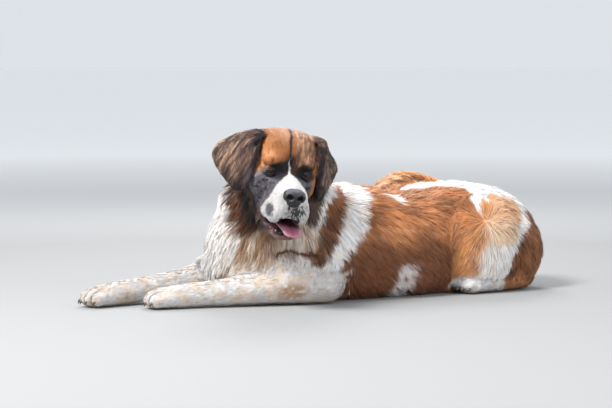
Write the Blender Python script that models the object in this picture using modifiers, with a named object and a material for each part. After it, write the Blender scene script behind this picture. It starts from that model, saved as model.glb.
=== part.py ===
"""A long-haired Saint Bernard lying on its breast, as a still model at life size.

The dog lies with both forelegs stretched out and its head turned to its left.
It faces -Y, its left side is +X, and it rests on the plane z = 0. Lengths are
in metres. Every solid is the outside of the coat, out to the tips of the hair.
"""

import math

import bmesh
import bpy
from mathutils import Matrix, Vector

# Thin gap between neighbouring pieces, how much wider a seat is cut round a guest
# with coarse faces, and how far a cutter reaches past the body.
GAP = 0.0003
SEAT_MARGIN = 1.4
BEYOND = 1.0

# Head: place of the point between the eyes, and how the head is turned.
EYE_LINE = Vector((0.237, -0.287, 0.382))
HEAD_YAW = math.radians(69.0)
HEAD_NOD = math.radians(8.0)
HEAD_TILT = math.radians(8.5)
EYE_SPACING = 0.1055
EYE_RADIUS = 0.0125
SKULL_TOP = 0.111
SKULL_HALF_WIDTH = 0.088
NOSE_HALF_WIDTH = 0.031
EAR_THICKNESS = 0.018
EAR_FOLD_LOW = 0.015
EAR_FOLD_HIGH = 0.080
NAPE_PLACE = 0.138
NAPE_SLANT = math.radians(-12.0)

# Trunk: heights of the back line above the floor along the length.
WITHERS_HEIGHT = 0.332
BACK_DIP_HEIGHT = 0.301
LOIN_HEIGHT = 0.331
CROUP_HEIGHT = 0.290
BARREL_HALF_WIDTH = 0.200
WAIST_HALF_WIDTH = 0.174

# Legs.
LEFT_ELBOW = Vector((0.160, -0.120, 0.068))
LEFT_TOE = Vector((0.002, -0.622, 0.026))
RIGHT_ELBOW = Vector((-0.150, -0.225, 0.068))
RIGHT_TOE = Vector((-0.115, -0.752, 0.026))
PAW_LENGTH = 0.150
HIND_TOE_Y = 0.362
HOCK_Y = 0.615
HIND_FOOT_X = 0.165
TOES = 4
TOE_SPACING = 0.026
HIND_TOE_SPACING = 0.021

# Where the body is divided: tail root from its bushy end, legs from the trunk,
# neck from chest, chest from barrel, barrel from rump.
TAIL_SPLIT_Y = 0.560
LEG_CELL_HALF_WIDTH = 0.085
PAW_CELL_TOP = 0.120
ARM_CELL_TOP = 0.118
ARM_CELL_BEHIND_ELBOW = 0.075
HIND_FOOT_CELL_INNER = 0.116
HIND_FOOT_CELL_OUTER = 0.240
HIND_FOOT_CELL_TOP = 0.062
THIGH_CELL_CENTRE = (0.175, 0.485, 0.150)
THIGH_CELL_RADII = (0.105, 0.175, 0.170)
NECK_CUT_Y = -0.115
NECK_CUT_TURN = math.radians(30.0)
NECK_CUT_LEAN = math.radians(35.0)
NECK_CUT_HEIGHT = 0.205
CHEST_BACK_Y = 0.020
BARREL_BACK_Y = 0.360
CELL_HALF_WIDTH = 0.400
CELL_MARGIN = 0.050

# From the dog's own middle line to the middle of its whole box on the floor.
TO_BOX_MIDDLE = Vector((-0.072, 0.005, 0.0))

# Fineness of the surfaces.
BODY_VOXEL = 0.011
HEAD_VOXEL = 0.0052
TAIL_VOXEL = 0.008
EAR_VOXEL = 0.005
JAW_VOXEL = 0.005
SMALL_VOXEL = 0.004
BODY_TRIANGLES = 2200
HEAD_TRIANGLES = 1200
TAIL_TRIANGLES = 320
JAW_TRIANGLES = 260
EAR_TRIANGLES = 210
SMALL_TRIANGLES = 150
MERGE_DISTANCE = 0.00001

COAT_WHITE = (0.82, 0.78, 0.72)
COAT_RED = (0.44, 0.17, 0.07)
COAT_ORANGE = (0.72, 0.40, 0.18)
COAT_TAN = (0.50, 0.22, 0.08)
COAT_DARK = (0.07, 0.05, 0.045)
SKIN_BLACK = (0.025, 0.022, 0.025)
TONGUE_PINK = (0.55, 0.20, 0.26)
EYE_BROWN = (0.045, 0.022, 0.012)

LONG_COAT_ROUGHNESS = 0.85
SHORT_COAT_ROUGHNESS = 0.80
LIP_ROUGHNESS = 0.60
WET_ROUGHNESS = 0.35
EYE_ROUGHNESS = 0.10


def clear_objects():
    """Take away what the file holds at the start."""
    for thing in list(bpy.data.objects):
        bpy.data.objects.remove(thing, do_unlink=True)


def new_collection(name):
    """A collection under the scene's own."""
    group = bpy.data.collections.new(name)
    bpy.context.scene.collection.children.link(group)
    return group


def object_of(name, bm, group):
    """A mesh object made from a bmesh, which is freed."""
    mesh = bpy.data.meshes.new(name)
    bm.to_mesh(mesh)
    bm.free()
    thing = bpy.data.objects.new(name, mesh)
    group.objects.link(thing)
    return thing


def remove(*things):
    """Delete helper objects with their meshes."""
    for thing in things:
        mesh = thing.data
        bpy.data.objects.remove(thing, do_unlink=True)
        bpy.data.meshes.remove(mesh)


def smooth_between(values, place):
    """Catmull-Rom value at a place along a list of numbers or vectors."""
    last = len(values) - 1
    index = min(int(place), last - 1)
    part = place - index
    a = values[max(index - 1, 0)]
    b = values[index]
    c = values[index + 1]
    d = values[min(index + 2, last)]
    return 0.5 * (
        2.0 * b
        + (c - a) * part
        + (2.0 * a - 5.0 * b + 4.0 * c - d) * part ** 2
        + (3.0 * b - a - 3.0 * c + d) * part ** 3
    )


def ring_point(centre, across, upward, half_width, half_height, turn, power):
    """A point on a rounded ring; a higher power makes it squarer."""
    c = math.cos(turn)
    s = math.sin(turn)
    wide = math.copysign(abs(c) ** (2.0 / power), c)
    high = math.copysign(abs(s) ** (2.0 / power), s)
    return centre + across * (half_width * wide) + upward * (half_height * high)


def rounded_end(ring, reach):
    """Shrinking rings that close a loft, reaching out along its run."""
    centre, along, half_width, half_height = ring
    rings = []
    for angle in (25.0, 50.0, 72.0):
        turn = math.radians(angle)
        shrink = math.cos(turn)
        out = along * (reach * math.sin(turn))
        rings.append((centre + out, along, half_width * shrink, half_height * shrink))
    return rings


def loft(name, stations, group, sides=28, steps=5, power=2.0, caps=(None, None)):
    """A closed body through stations of (centre, half width, half height).

    Its ends are rounded; caps gives how far each rounded end reaches out.
    """
    centres = [Vector(station[0]) for station in stations]
    widths = [station[1] for station in stations]
    heights = [station[2] for station in stations]
    places = [i / steps for i in range((len(stations) - 1) * steps + 1)]
    rings = []
    for place in places:
        before = smooth_between(centres, max(place - 0.02, 0.0))
        after = smooth_between(centres, min(place + 0.02, len(stations) - 1.0))
        along = (after - before).normalized()
        rings.append(
            (
                smooth_between(centres, place),
                along,
                smooth_between(widths, place),
                smooth_between(heights, place),
            )
        )
    front_reach = caps[0] or min(rings[0][2:])
    back_reach = caps[1] or min(rings[-1][2:])
    rings = rounded_end(rings[0], -front_reach)[::-1] + rings + rounded_end(rings[-1], back_reach)

    bm = bmesh.new()
    loops = []
    for centre, along, half_width, half_height in rings:
        across = along.cross(Vector((0.0, 0.0, 1.0))).normalized()
        upward = across.cross(along).normalized()
        loop = []
        for i in range(sides):
            turn = 2.0 * math.pi * i / sides
            point = ring_point(centre, across, upward, half_width, half_height, turn, power)
            loop.append(bm.verts.new(point))
        loops.append(loop)
    for low, high in zip(loops, loops[1:]):
        for i in range(sides):
            j = (i + 1) % sides
            bm.faces.new((low[i], low[j], high[j], high[i]))
    bm.faces.new(list(reversed(loops[0])))
    bm.faces.new(loops[-1])
    bmesh.ops.recalc_face_normals(bm, faces=bm.faces)
    return object_of(name, bm, group)


def ellipsoid(name, centre, radii, group, turn=(0.0, 0.0, 0.0), rings=14):
    """A ball stretched to three radii and turned about X, Y and Z in degrees."""
    bm = bmesh.new()
    bmesh.ops.create_uvsphere(bm, u_segments=2 * rings, v_segments=rings, radius=1.0)
    place = Matrix.Translation(centre)
    for axis, angle in zip("ZYX", reversed(turn)):
        place = place @ Matrix.Rotation(math.radians(angle), 4, axis)
    bmesh.ops.transform(bm, matrix=place @ Matrix.Diagonal((*radii, 1.0)), verts=bm.verts)
    return object_of(name, bm, group)


def box(name, low, high, group, place=None):
    """A box between two corners, moved by a matrix when one is given."""
    bm = bmesh.new()
    low, high = Vector(low), Vector(high)
    size = high - low
    matrix = Matrix.Translation((low + high) / 2.0) @ Matrix.Diagonal((*size, 1.0))
    if place is not None:
        matrix = place @ matrix
    bmesh.ops.create_cube(bm, size=1.0, matrix=matrix)
    return object_of(name, bm, group)


def apply_modifiers(thing):
    """Replace the mesh by what its modifiers make of it."""
    graph = bpy.context.evaluated_depsgraph_get()
    old = thing.data
    thing.data = bpy.data.meshes.new_from_object(thing.evaluated_get(graph))
    thing.modifiers.clear()
    bpy.data.meshes.remove(old)
    return thing


def join(name, things, group):
    """One object with the meshes of several, which are removed."""
    bm = bmesh.new()
    for thing in things:
        bm.from_mesh(thing.data)
    joined = object_of(name, bm, group)
    remove(*things)
    return joined


def melt(thing, voxel, rounds):
    """Melt overlapping shapes into one skin and soften it."""
    remesh = thing.modifiers.new("melt", "REMESH")
    remesh.mode = "VOXEL"
    remesh.voxel_size = voxel
    soften = thing.modifiers.new("soften", "SMOOTH")
    soften.factor = 0.5
    soften.iterations = rounds
    return apply_modifiers(thing)


def thin_out(thing, triangles):
    """Lower the number of triangles."""
    thing.data.calc_loop_triangles()
    fewer = thing.modifiers.new("fewer", "DECIMATE")
    fewer.ratio = min(1.0, triangles / len(thing.data.loop_triangles))
    fewer.use_collapse_triangulate = True
    return apply_modifiers(thing)


def grown(thing, by, group):
    """A copy whose surface lies further out, for cutting a seat with a gap."""
    bm = bmesh.new()
    bm.from_mesh(thing.data)
    bm.normal_update()
    moves = [vert.normal * by for vert in bm.verts]
    for vert, move in zip(bm.verts, moves):
        vert.co += move
    return object_of(thing.name + "_seat", bm, group)


def combine(thing, other, operation):
    """Boolean of two objects; the second stays."""
    cut = thing.modifiers.new("cut", "BOOLEAN")
    cut.operation = operation
    cut.solver = "EXACT"
    cut.object = other
    return apply_modifiers(thing)


def subtract(thing, guest, group, gap=GAP):
    """Cut the seat of a guest out of a thing."""
    seat = grown(guest, gap * SEAT_MARGIN, group)
    combine(thing, seat, "DIFFERENCE")
    remove(seat)
    return thing


def part_off(name, whole, cell, group):
    """Split the piece of a whole that lies in a cell off from it."""
    piece = bpy.data.objects.new(name, whole.data.copy())
    group.objects.link(piece)
    combine(piece, cell, "INTERSECT")
    seat = grown(cell, GAP, group)
    combine(whole, seat, "DIFFERENCE")
    remove(seat, cell)
    return piece


def keep_largest(thing):
    """Drop loose crumbs that a cut may leave."""
    bm = bmesh.new()
    bm.from_mesh(thing.data)
    bmesh.ops.remove_doubles(bm, verts=bm.verts, dist=MERGE_DISTANCE)
    waiting = set(bm.faces)
    bodies = []
    while waiting:
        stack = [waiting.pop()]
        body = set(stack)
        while stack:
            for edge in stack.pop().edges:
                for face in edge.link_faces:
                    if face in waiting:
                        waiting.remove(face)
                        body.add(face)
                        stack.append(face)
        bodies.append(body)
    bodies.sort(key=len)
    for body in bodies[:-1]:
        bmesh.ops.delete(bm, geom=list(body), context="FACES")
    loose = [vert for vert in bm.verts if not vert.link_faces]
    bmesh.ops.delete(bm, geom=loose, context="VERTS")
    bmesh.ops.triangulate(bm, faces=bm.faces)
    bm.to_mesh(thing.data)
    bm.free()
    return thing


def head_matrix():
    """From the head's own axes (nose to -Y) to the dog's."""
    return (
        Matrix.Translation(EYE_LINE)
        @ Matrix.Rotation(HEAD_YAW, 4, "Z")
        @ Matrix.Rotation(HEAD_NOD, 4, "X")
        @ Matrix.Rotation(HEAD_TILT, 4, "Y")
    )


def to_head(thing):
    """Move a mesh from the head's own axes to its place."""
    thing.data.transform(head_matrix())
    return thing


def ear_patch(name, side, reach, sweep, close, group):
    """A hanging ear: a curved flap from the skull over its fold to the tip."""
    rows = [
        [(0.060, 0.046, 0.090), (0.062, 0.085, 0.097), (0.060, 0.125, 0.080)],
        [(0.078, 0.038, 0.088), (0.112, 0.068, 0.088), (0.106, 0.122, 0.066)],
        [(0.080, 0.034, 0.062), (0.154, 0.070, 0.062), (0.138, 0.124, 0.040)],
        [(0.083, 0.031, 0.030), (0.188, 0.070, 0.026), (0.158, 0.122, 0.006)],
        [(0.092, 0.030, -0.012), (0.170, 0.064, -0.020), (0.150, 0.105, -0.026)],
        [(0.099, 0.037, -0.050), (0.136, 0.054, -0.056), (0.136, 0.085, -0.055)],
        [(0.112, 0.046, -0.070), (0.122, 0.054, -0.075), (0.127, 0.068, -0.070)],
    ]
    down_steps = 3
    across_steps = 4
    grid = []
    for i in range((len(rows) - 1) * down_steps + 1):
        place = i / down_steps
        line = []
        for j in range(2 * across_steps + 1):
            across = j / across_steps
            column = [smooth_between([Vector(p) for p in row], across) for row in rows]
            point = smooth_between(column, place)
            outward = max(point.x - 0.100, 0.0)
            high = min(max((point.z - EAR_FOLD_LOW) / (EAR_FOLD_HIGH - EAR_FOLD_LOW), 0.0), 1.0)
            x = side * (point.x + outward * (reach * (1.0 - close * high) - 1.0))
            line.append(Vector((x, point.y + outward * sweep, point.z)))
        grid.append(line)
    bm = bmesh.new()
    verts = [[bm.verts.new(point) for point in line] for line in grid]
    for upper, lower in zip(verts, verts[1:]):
        for i in range(len(upper) - 1):
            bm.faces.new((upper[i], upper[i + 1], lower[i + 1], lower[i]))
    bmesh.ops.recalc_face_normals(bm, faces=bm.faces)
    ear = object_of(name, bm, group)
    shell = ear.modifiers.new("thickness", "SOLIDIFY")
    shell.thickness = EAR_THICKNESS
    shell.offset = 0.0
    apply_modifiers(ear)
    melt(ear, EAR_VOXEL, 3)
    thin_out(ear, EAR_TRIANGLES)
    return to_head(ear)


def head_solids(group):
    """Skull with upper muzzle, lower jaw, tongue, nose and eyes, in place."""
    half_eyes = EYE_SPACING / 2.0
    pieces = [
        loft(
            "cranium",
            [
                ((0, 0.024, 0.030), SKULL_HALF_WIDTH - 0.012, SKULL_TOP - 0.040),
                ((0, 0.065, 0.030), SKULL_HALF_WIDTH - 0.002, SKULL_TOP - 0.031),
                ((0, 0.110, 0.028), SKULL_HALF_WIDTH, SKULL_TOP - 0.030),
                ((0, 0.150, 0.018), SKULL_HALF_WIDTH - 0.014, SKULL_TOP - 0.044),
            ],
            group,
            power=3.1,
            caps=(0.034, 0.045),
        ),
        ellipsoid("throat", (0, 0.075, -0.085), (0.070, 0.085, 0.062), group),
        ellipsoid("nasal_bridge", (0, -0.040, -0.021), (0.030, 0.078, 0.020), group, turn=(7, 0, 0)),
        loft(
            "muzzle",
            [
                ((0, 0.050, -0.052), 0.064, 0.054),
                ((0, 0.000, -0.056), 0.056, 0.053),
                ((0, -0.045, -0.061), 0.049, 0.050),
                ((0, -0.080, -0.065), 0.047, 0.048),
                ((0, -0.100, -0.068), 0.044, 0.044),
            ],
            group,
            power=2.7,
            caps=(0.05, 0.024),
        ),
    ]
    for side in (-1, 1):
        pieces += [
            ellipsoid("cheek", (side * 0.054, 0.070, -0.030), (0.042, 0.072, 0.062), group),
            ellipsoid("brow", (side * 0.043, 0.012, 0.030), (0.036, 0.026, 0.022), group),
            ellipsoid("flew", (side * 0.034, -0.068, -0.092), (0.025, 0.054, 0.042), group, turn=(-6, 0, 0)),
            ellipsoid("lip_corner", (side * 0.045, -0.012, -0.098), (0.022, 0.048, 0.034), group),
        ]
    head = melt(join("head", pieces, group), HEAD_VOXEL, 3)
    thin_out(head, HEAD_TRIANGLES)
    to_head(head)

    jaw = melt(
        join(
            "lower_jaw",
            [
                loft(
                    "jaw_bone",
                    [
                        ((0, 0.062, -0.142), 0.056, 0.026),
                        ((0, 0.005, -0.152), 0.050, 0.017),
                        ((0, -0.045, -0.161), 0.040, 0.013),
                        ((0, -0.078, -0.164), 0.030, 0.012),
                    ],
                    group,
                    power=2.4,
                ),
            ],
            group,
        ),
        JAW_VOXEL,
        2,
    )
    thin_out(jaw, JAW_TRIANGLES)
    to_head(jaw)

    tongue = melt(
        loft(
            "tongue",
            [
                ((0.006, 0.020, -0.131), 0.030, 0.006),
                ((0.008, -0.040, -0.136), 0.031, 0.006),
                ((0.014, -0.078, -0.141), 0.030, 0.006),
                ((0.020, -0.102, -0.152), 0.024, 0.005),
            ],
            group,
        ),
        SMALL_VOXEL,
        2,
    )
    thin_out(tongue, SMALL_TRIANGLES)
    to_head(tongue)

    nose = melt(
        join(
            "nose",
            [
                ellipsoid("nose_top", (0, -0.117, -0.038), (NOSE_HALF_WIDTH, 0.022, 0.018), group),
                ellipsoid("nose_front", (0, -0.121, -0.053), (0.023, 0.017, 0.020), group),
            ],
            group,
        ),
        SMALL_VOXEL,
        3,
    )
    thin_out(nose, SMALL_TRIANGLES)
    to_head(nose)

    eyes = []
    for name, side in (("eye_left", 1), ("eye_right", -1)):
        eye = ellipsoid(name, (side * half_eyes, 0.004, 0.0), (EYE_RADIUS,) * 3, group, rings=6)
        eyes.append(to_head(eye))
    return head, jaw, tongue, nose, eyes


def trunk_shapes(group):
    """The trunk from the chest front to the rump, with its long coat."""
    def station(y, top, half_width, low=-0.03):
        return ((0.0, y, (top + low) / 2.0), half_width, (top - low) / 2.0)

    return [
        loft(
            "barrel",
            [
                station(-0.250, 0.300, 0.165),
                station(-0.150, 0.325, 0.185),
                station(-0.020, WITHERS_HEIGHT, 0.195),
                station(0.090, WITHERS_HEIGHT, BARREL_HALF_WIDTH),
                station(0.215, BACK_DIP_HEIGHT, BARREL_HALF_WIDTH - 0.002),
                station(0.330, 0.317, WAIST_HALF_WIDTH),
                station(0.440, LOIN_HEIGHT, WAIST_HALF_WIDTH - 0.004),
                station(0.545, 0.318, 0.172),
                station(0.620, CROUP_HEIGHT, 0.148),
            ],
            group,
            power=2.35,
            caps=(0.100, 0.115),
        ),
        ellipsoid("chest", (-0.012, -0.165, 0.165), (0.185, 0.222, 0.175), group),
        ellipsoid("breast_hair", (-0.030, -0.235, 0.110), (0.140, 0.150, 0.115), group),
    ]


def neck_shapes(group):
    """The neck and its ruff, bending to the left up to the head."""
    return [
        loft(
            "neck",
            [
                ((0.000, 0.020, 0.205), 0.165, 0.125),
                ((0.000, -0.090, 0.235), 0.175, 0.128),
                ((0.035, -0.170, 0.280), 0.168, 0.128),
                ((0.090, -0.222, 0.330), 0.140, 0.122),
                ((0.128, -0.240, 0.375), 0.108, 0.100),
            ],
            group,
        ),
        ellipsoid("right_ruff", (-0.018, -0.232, 0.285), (0.112, 0.122, 0.092), group),
        to_head(ellipsoid("nape_hair", (0, 0.150, 0.000), (0.086, 0.070, 0.094), group)),
        to_head(ellipsoid("throat_hair", (0, 0.090, -0.140), (0.074, 0.078, 0.050), group)),
    ]


def foreleg_shapes(name, elbow, toe, group):
    """A foreleg lying on the floor, from the upper arm to the toes."""
    along = (toe - elbow).normalized()
    flat = Vector((along.x, along.y, 0.0)).normalized()
    sideways = Vector((-flat.y, flat.x, 0.0))
    wrist = toe - flat * PAW_LENGTH
    wrist.z = 0.036
    fore_mid = elbow.lerp(wrist, 0.5)
    outward = math.copysign(1.0, elbow.x)
    shapes = [
        loft(
            name + "_arm",
            [
                (elbow - flat * 0.012, 0.056, 0.070),
                (elbow + flat * 0.090 - Vector((0, 0, 0.008)), 0.055, 0.062),
                (fore_mid - Vector((0, 0, 0.004)), 0.048, 0.048),
                (wrist, 0.040, 0.038),
                (wrist + flat * 0.060 - Vector((0, 0, 0.004)), 0.050, 0.035),
                (wrist + flat * 0.110 - Vector((0, 0, 0.008)), 0.048, 0.030),
            ],
            group,
        ),
        ellipsoid(
            name + "_shoulder",
            (elbow.x - outward * 0.025, elbow.y - 0.005, 0.145),
            (0.068, 0.115, 0.118),
            group,
            turn=(-20, 0, 0),
        ),
    ]
    for i in range(TOES):
        from_middle = i - (TOES - 1) / 2.0
        offset = from_middle * TOE_SPACING
        shorter = 0.010 * abs(from_middle)
        tip = toe + sideways * offset - flat * (0.020 + shorter)
        shapes.append(
            ellipsoid(
                name + "_toe",
                (tip.x, tip.y, 0.024),
                (0.0145, 0.026, 0.026),
                group,
                turn=(0, 0, math.degrees(math.atan2(flat.x, -flat.y))),
            )
        )
    return shapes


def hindleg_shapes(side, group):
    """A folded hind leg: thigh against the flank and the foot flat on the floor."""
    foot_x = side * HIND_FOOT_X
    shapes = [
        ellipsoid("thigh", (side * 0.122, 0.462, 0.142), (0.100, 0.150, 0.146), group),
        ellipsoid("buttock", (side * 0.078, 0.596, 0.118), (0.106, 0.136, 0.131), group),
        loft(
            "hind_foot",
            [
                ((side * 0.150, HOCK_Y, 0.040), 0.036, 0.040),
                ((side * 0.162, 0.520, 0.032), 0.036, 0.034),
                ((foot_x, HIND_TOE_Y + 0.090, 0.030), 0.042, 0.032),
                ((foot_x, HIND_TOE_Y + 0.045, 0.027), 0.044, 0.028),
            ],
            group,
        ),
    ]
    for i in range(TOES):
        from_middle = i - (TOES - 1) / 2.0
        offset = from_middle * HIND_TOE_SPACING
        shorter = 0.008 * abs(from_middle)
        shapes.append(
            ellipsoid(
                "hind_toe",
                (foot_x + offset, HIND_TOE_Y + 0.020 + shorter, 0.022),
                (0.013, 0.024, 0.023),
                group,
            )
        )
    return shapes


def tail_shape(name, group):
    """The bushy tail, from the croup forward along the right of the back."""
    stations = [
        ((0.000, 0.650, 0.236), 0.042, 0.036),
        ((-0.066, 0.684, 0.248), 0.044, 0.040),
        ((-0.130, 0.630, 0.256), 0.048, 0.044),
        ((-0.154, 0.550, 0.268), 0.052, 0.050),
        ((-0.148, 0.465, 0.286), 0.054, 0.056),
        ((-0.128, 0.390, 0.300), 0.056, 0.060),
        ((-0.108, 0.320, 0.302), 0.052, 0.056),
        ((-0.100, 0.262, 0.297), 0.038, 0.040),
    ]
    return loft(name, stations, group, sides=16, steps=3)


def direction_matrix(origin, toward):
    """Axes whose -Y runs from one point toward another, level."""
    flat = Vector((toward.x - origin.x, toward.y - origin.y, 0.0)).normalized()
    turn = math.atan2(flat.x, -flat.y)
    return Matrix.Translation((origin.x, origin.y, 0.0)) @ Matrix.Rotation(turn, 4, "Z")


def finish(thing, colour, roughness, group):
    """Name the material after the piece and put it in the dog's collection."""
    material = bpy.data.materials.new(thing.name)
    material.use_nodes = True
    shader = material.node_tree.nodes["Principled BSDF"]
    shader.inputs["Base Color"].default_value = (*colour, 1.0)
    shader.inputs["Roughness"].default_value = roughness
    shader.inputs["Metallic"].default_value = 0.0
    thing.data.materials.clear()
    thing.data.materials.append(material)
    thing.data.transform(Matrix.Translation(TO_BOX_MIDDLE))
    for owner in list(thing.users_collection):
        owner.objects.unlink(thing)
    group.objects.link(thing)


def main():
    clear_objects()
    dog = new_collection("saint_bernard")
    work = new_collection("cutters")

    head, jaw, tongue, nose, eyes = head_solids(work)
    ears = [
        ear_patch("ear_left", 1, 0.70, 0.55, 0.65, work),
        ear_patch("ear_right", -1, 1.12, 0.0, 0.0, work),
    ]
    tail = melt(tail_shape("tail", work), TAIL_VOXEL, 3)
    thin_out(tail, TAIL_TRIANGLES)

    body = join(
        "body",
        trunk_shapes(work)
        + neck_shapes(work)
        + foreleg_shapes("foreleg_left", LEFT_ELBOW, LEFT_TOE, work)
        + foreleg_shapes("foreleg_right", RIGHT_ELBOW, RIGHT_TOE, work)
        + hindleg_shapes(1, work)
        + hindleg_shapes(-1, work),
        work,
    )
    melt(body, BODY_VOXEL, 6)
    thin_out(body, BODY_TRIANGLES)
    floor = box("floor", (-BEYOND, -BEYOND, -BEYOND), (BEYOND, BEYOND, 0.0), work)
    combine(body, floor, "DIFFERENCE")
    remove(floor)

    nape = box("nape", (-0.3, 0.0, -0.3), (0.3, 0.4, 0.3), work)
    slant = Matrix.Translation((0, NAPE_PLACE, 0)) @ Matrix.Rotation(NAPE_SLANT, 4, "X")
    nape.data.transform(head_matrix() @ slant)
    combine(head, nape, "DIFFERENCE")
    remove(nape)
    for thing in (jaw, head):
        subtract(thing, tongue, work)
    subtract(head, jaw, work)
    subtract(head, nose, work)
    for piece in eyes + ears:
        subtract(head, piece, work)

    for guest in [head, jaw, tongue, tail] + ears:
        subtract(body, guest, work)
    keep_largest(body)

    end_cell = box("cell", (-0.30, 0.10, 0.10), (0.0, TAIL_SPLIT_Y, 0.50), work)
    tail_end = part_off("tail_end", tail, end_cell, work)
    tail.name = "tail_root"
    pieces = [
        (head, COAT_TAN, SHORT_COAT_ROUGHNESS),
        (jaw, COAT_DARK, LIP_ROUGHNESS),
        (tongue, TONGUE_PINK, WET_ROUGHNESS),
        (nose, SKIN_BLACK, WET_ROUGHNESS),
        (eyes[0], EYE_BROWN, EYE_ROUGHNESS),
        (eyes[1], EYE_BROWN, EYE_ROUGHNESS),
        (ears[0], COAT_DARK, SHORT_COAT_ROUGHNESS),
        (ears[1], COAT_DARK, SHORT_COAT_ROUGHNESS),
        (tail_end, COAT_ORANGE, LONG_COAT_ROUGHNESS),
        (tail, COAT_WHITE, LONG_COAT_ROUGHNESS),
    ]

    for side_name, elbow, toe in (
        ("left", LEFT_ELBOW, LEFT_TOE),
        ("right", RIGHT_ELBOW, RIGHT_TOE),
    ):
        axes = direction_matrix(elbow, toe)
        length = (toe - elbow).to_2d().length
        wrist = length - PAW_LENGTH
        half = LEG_CELL_HALF_WIDTH
        paw_cell = box(
            "cell",
            (-half, -length - CELL_MARGIN, -CELL_MARGIN),
            (half, -wrist, PAW_CELL_TOP),
            work,
            axes,
        )
        paw = part_off("forepaw_" + side_name, body, paw_cell, work)
        arm_cell = box(
            "cell",
            (-half, -wrist - GAP, -CELL_MARGIN),
            (half, ARM_CELL_BEHIND_ELBOW, ARM_CELL_TOP),
            work,
            axes,
        )
        arm = part_off("foreleg_" + side_name, body, arm_cell, work)
        pieces += [(paw, COAT_WHITE, LONG_COAT_ROUGHNESS), (arm, COAT_WHITE, LONG_COAT_ROUGHNESS)]

    for side_name, side in (("left", 1), ("right", -1)):
        low_x, high_x = sorted((side * HIND_FOOT_CELL_INNER, side * HIND_FOOT_CELL_OUTER))
        foot_cell = box(
            "cell",
            (low_x, HIND_TOE_Y - 0.010, -CELL_MARGIN),
            (high_x, HOCK_Y + 0.030, HIND_FOOT_CELL_TOP),
            work,
        )
        foot = part_off("hind_foot_" + side_name, body, foot_cell, work)
        centre = (side * THIGH_CELL_CENTRE[0], THIGH_CELL_CENTRE[1], THIGH_CELL_CENTRE[2])
        thigh_cell = ellipsoid("cell", centre, THIGH_CELL_RADII, work, rings=7)
        thigh = part_off("thigh_" + side_name, body, thigh_cell, work)
        pieces += [(foot, COAT_WHITE, LONG_COAT_ROUGHNESS), (thigh, COAT_ORANGE, LONG_COAT_ROUGHNESS)]

    neck_axes = Matrix.Translation((0.0, NECK_CUT_Y, 0.0)) @ Matrix.Rotation(NECK_CUT_TURN, 4, "Z")
    neck_axes = neck_axes @ Matrix.Rotation(NECK_CUT_LEAN, 4, "X")
    wide = CELL_HALF_WIDTH
    neck_cell = box("cell", (-wide, -wide, NECK_CUT_HEIGHT), (wide, wide, 2.0 * wide), work, neck_axes)
    neck = part_off("neck", body, neck_cell, work)
    chest_cell = box("cell", (-wide, -BEYOND, -CELL_MARGIN), (wide, CHEST_BACK_Y, 2.0 * wide), work)
    chest = part_off("chest", body, chest_cell, work)
    barrel_cell = box("cell", (-wide, -wide, -CELL_MARGIN), (wide, BARREL_BACK_Y, 2.0 * wide), work)
    barrel = part_off("barrel", body, barrel_cell, work)
    body.name = "rump"
    pieces += [
        (neck, COAT_WHITE, LONG_COAT_ROUGHNESS),
        (chest, COAT_WHITE, LONG_COAT_ROUGHNESS),
        (barrel, COAT_RED, LONG_COAT_ROUGHNESS),
        (body, COAT_WHITE, LONG_COAT_ROUGHNESS),
    ]

    for thing, colour, roughness in pieces:
        keep_largest(thing)
        finish(thing, colour, roughness, dog)
    bpy.data.collections.remove(work)


main()
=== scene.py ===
"""Looks of a long-haired Saint Bernard, a still model at life size.

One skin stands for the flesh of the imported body, and tufts of coat lie over it.
Lengths are in metres. The dog's own axes have -Y forward and +X to its left;
TO_BOX_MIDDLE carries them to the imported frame.
"""

import math

import bmesh
import bpy
import numpy as np
from mathutils import Matrix, Vector
from mathutils.bvhtree import BVHTree
from mathutils.kdtree import KDTree


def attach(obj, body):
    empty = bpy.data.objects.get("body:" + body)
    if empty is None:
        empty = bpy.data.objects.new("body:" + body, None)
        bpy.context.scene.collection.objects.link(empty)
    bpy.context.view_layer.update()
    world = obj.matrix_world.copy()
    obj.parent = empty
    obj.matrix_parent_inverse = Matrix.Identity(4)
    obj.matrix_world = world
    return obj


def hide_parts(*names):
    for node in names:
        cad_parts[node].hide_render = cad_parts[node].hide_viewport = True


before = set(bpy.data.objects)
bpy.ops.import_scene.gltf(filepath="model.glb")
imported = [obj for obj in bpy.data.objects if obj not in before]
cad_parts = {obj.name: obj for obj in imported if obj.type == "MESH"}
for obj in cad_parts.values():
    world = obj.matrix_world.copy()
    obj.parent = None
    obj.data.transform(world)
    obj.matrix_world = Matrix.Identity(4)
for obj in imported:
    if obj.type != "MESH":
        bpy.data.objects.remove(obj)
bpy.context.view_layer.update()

# Place of the head and of the whole dog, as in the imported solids.
TO_BOX_MIDDLE = Vector((-0.072, 0.005, 0.0))
EYE_LINE = Vector((0.237, -0.287, 0.382))
HEAD_YAW = math.radians(69.0)
HEAD_NOD = math.radians(8.0)
HEAD_TILT = math.radians(8.5)
EYE_SPACING = 0.1055
EYE_RADIUS = 0.0125
LEFT_ELBOW = Vector((0.160, -0.120, 0.068))
LEFT_TOE = Vector((0.002, -0.622, 0.026))
RIGHT_ELBOW = Vector((-0.150, -0.225, 0.068))
RIGHT_TOE = Vector((-0.115, -0.752, 0.026))
PAW_LENGTH = 0.150
HIND_TOE_Y = 0.362
HOCK_Y = 0.615
HIND_FOOT_X = 0.165
EAR_FOLD_LOW = 0.015
EAR_FOLD_HIGH = 0.080
LEFT_WHORL = Vector((0.128, 0.448, 0.220))
MIDDLE_X = TO_BOX_MIDDLE.x

# Fineness of the skin.
BODY_VOXEL = 0.0092
HEAD_VOXEL = 0.0030
LOWEST_SKIN = 0.003

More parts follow.
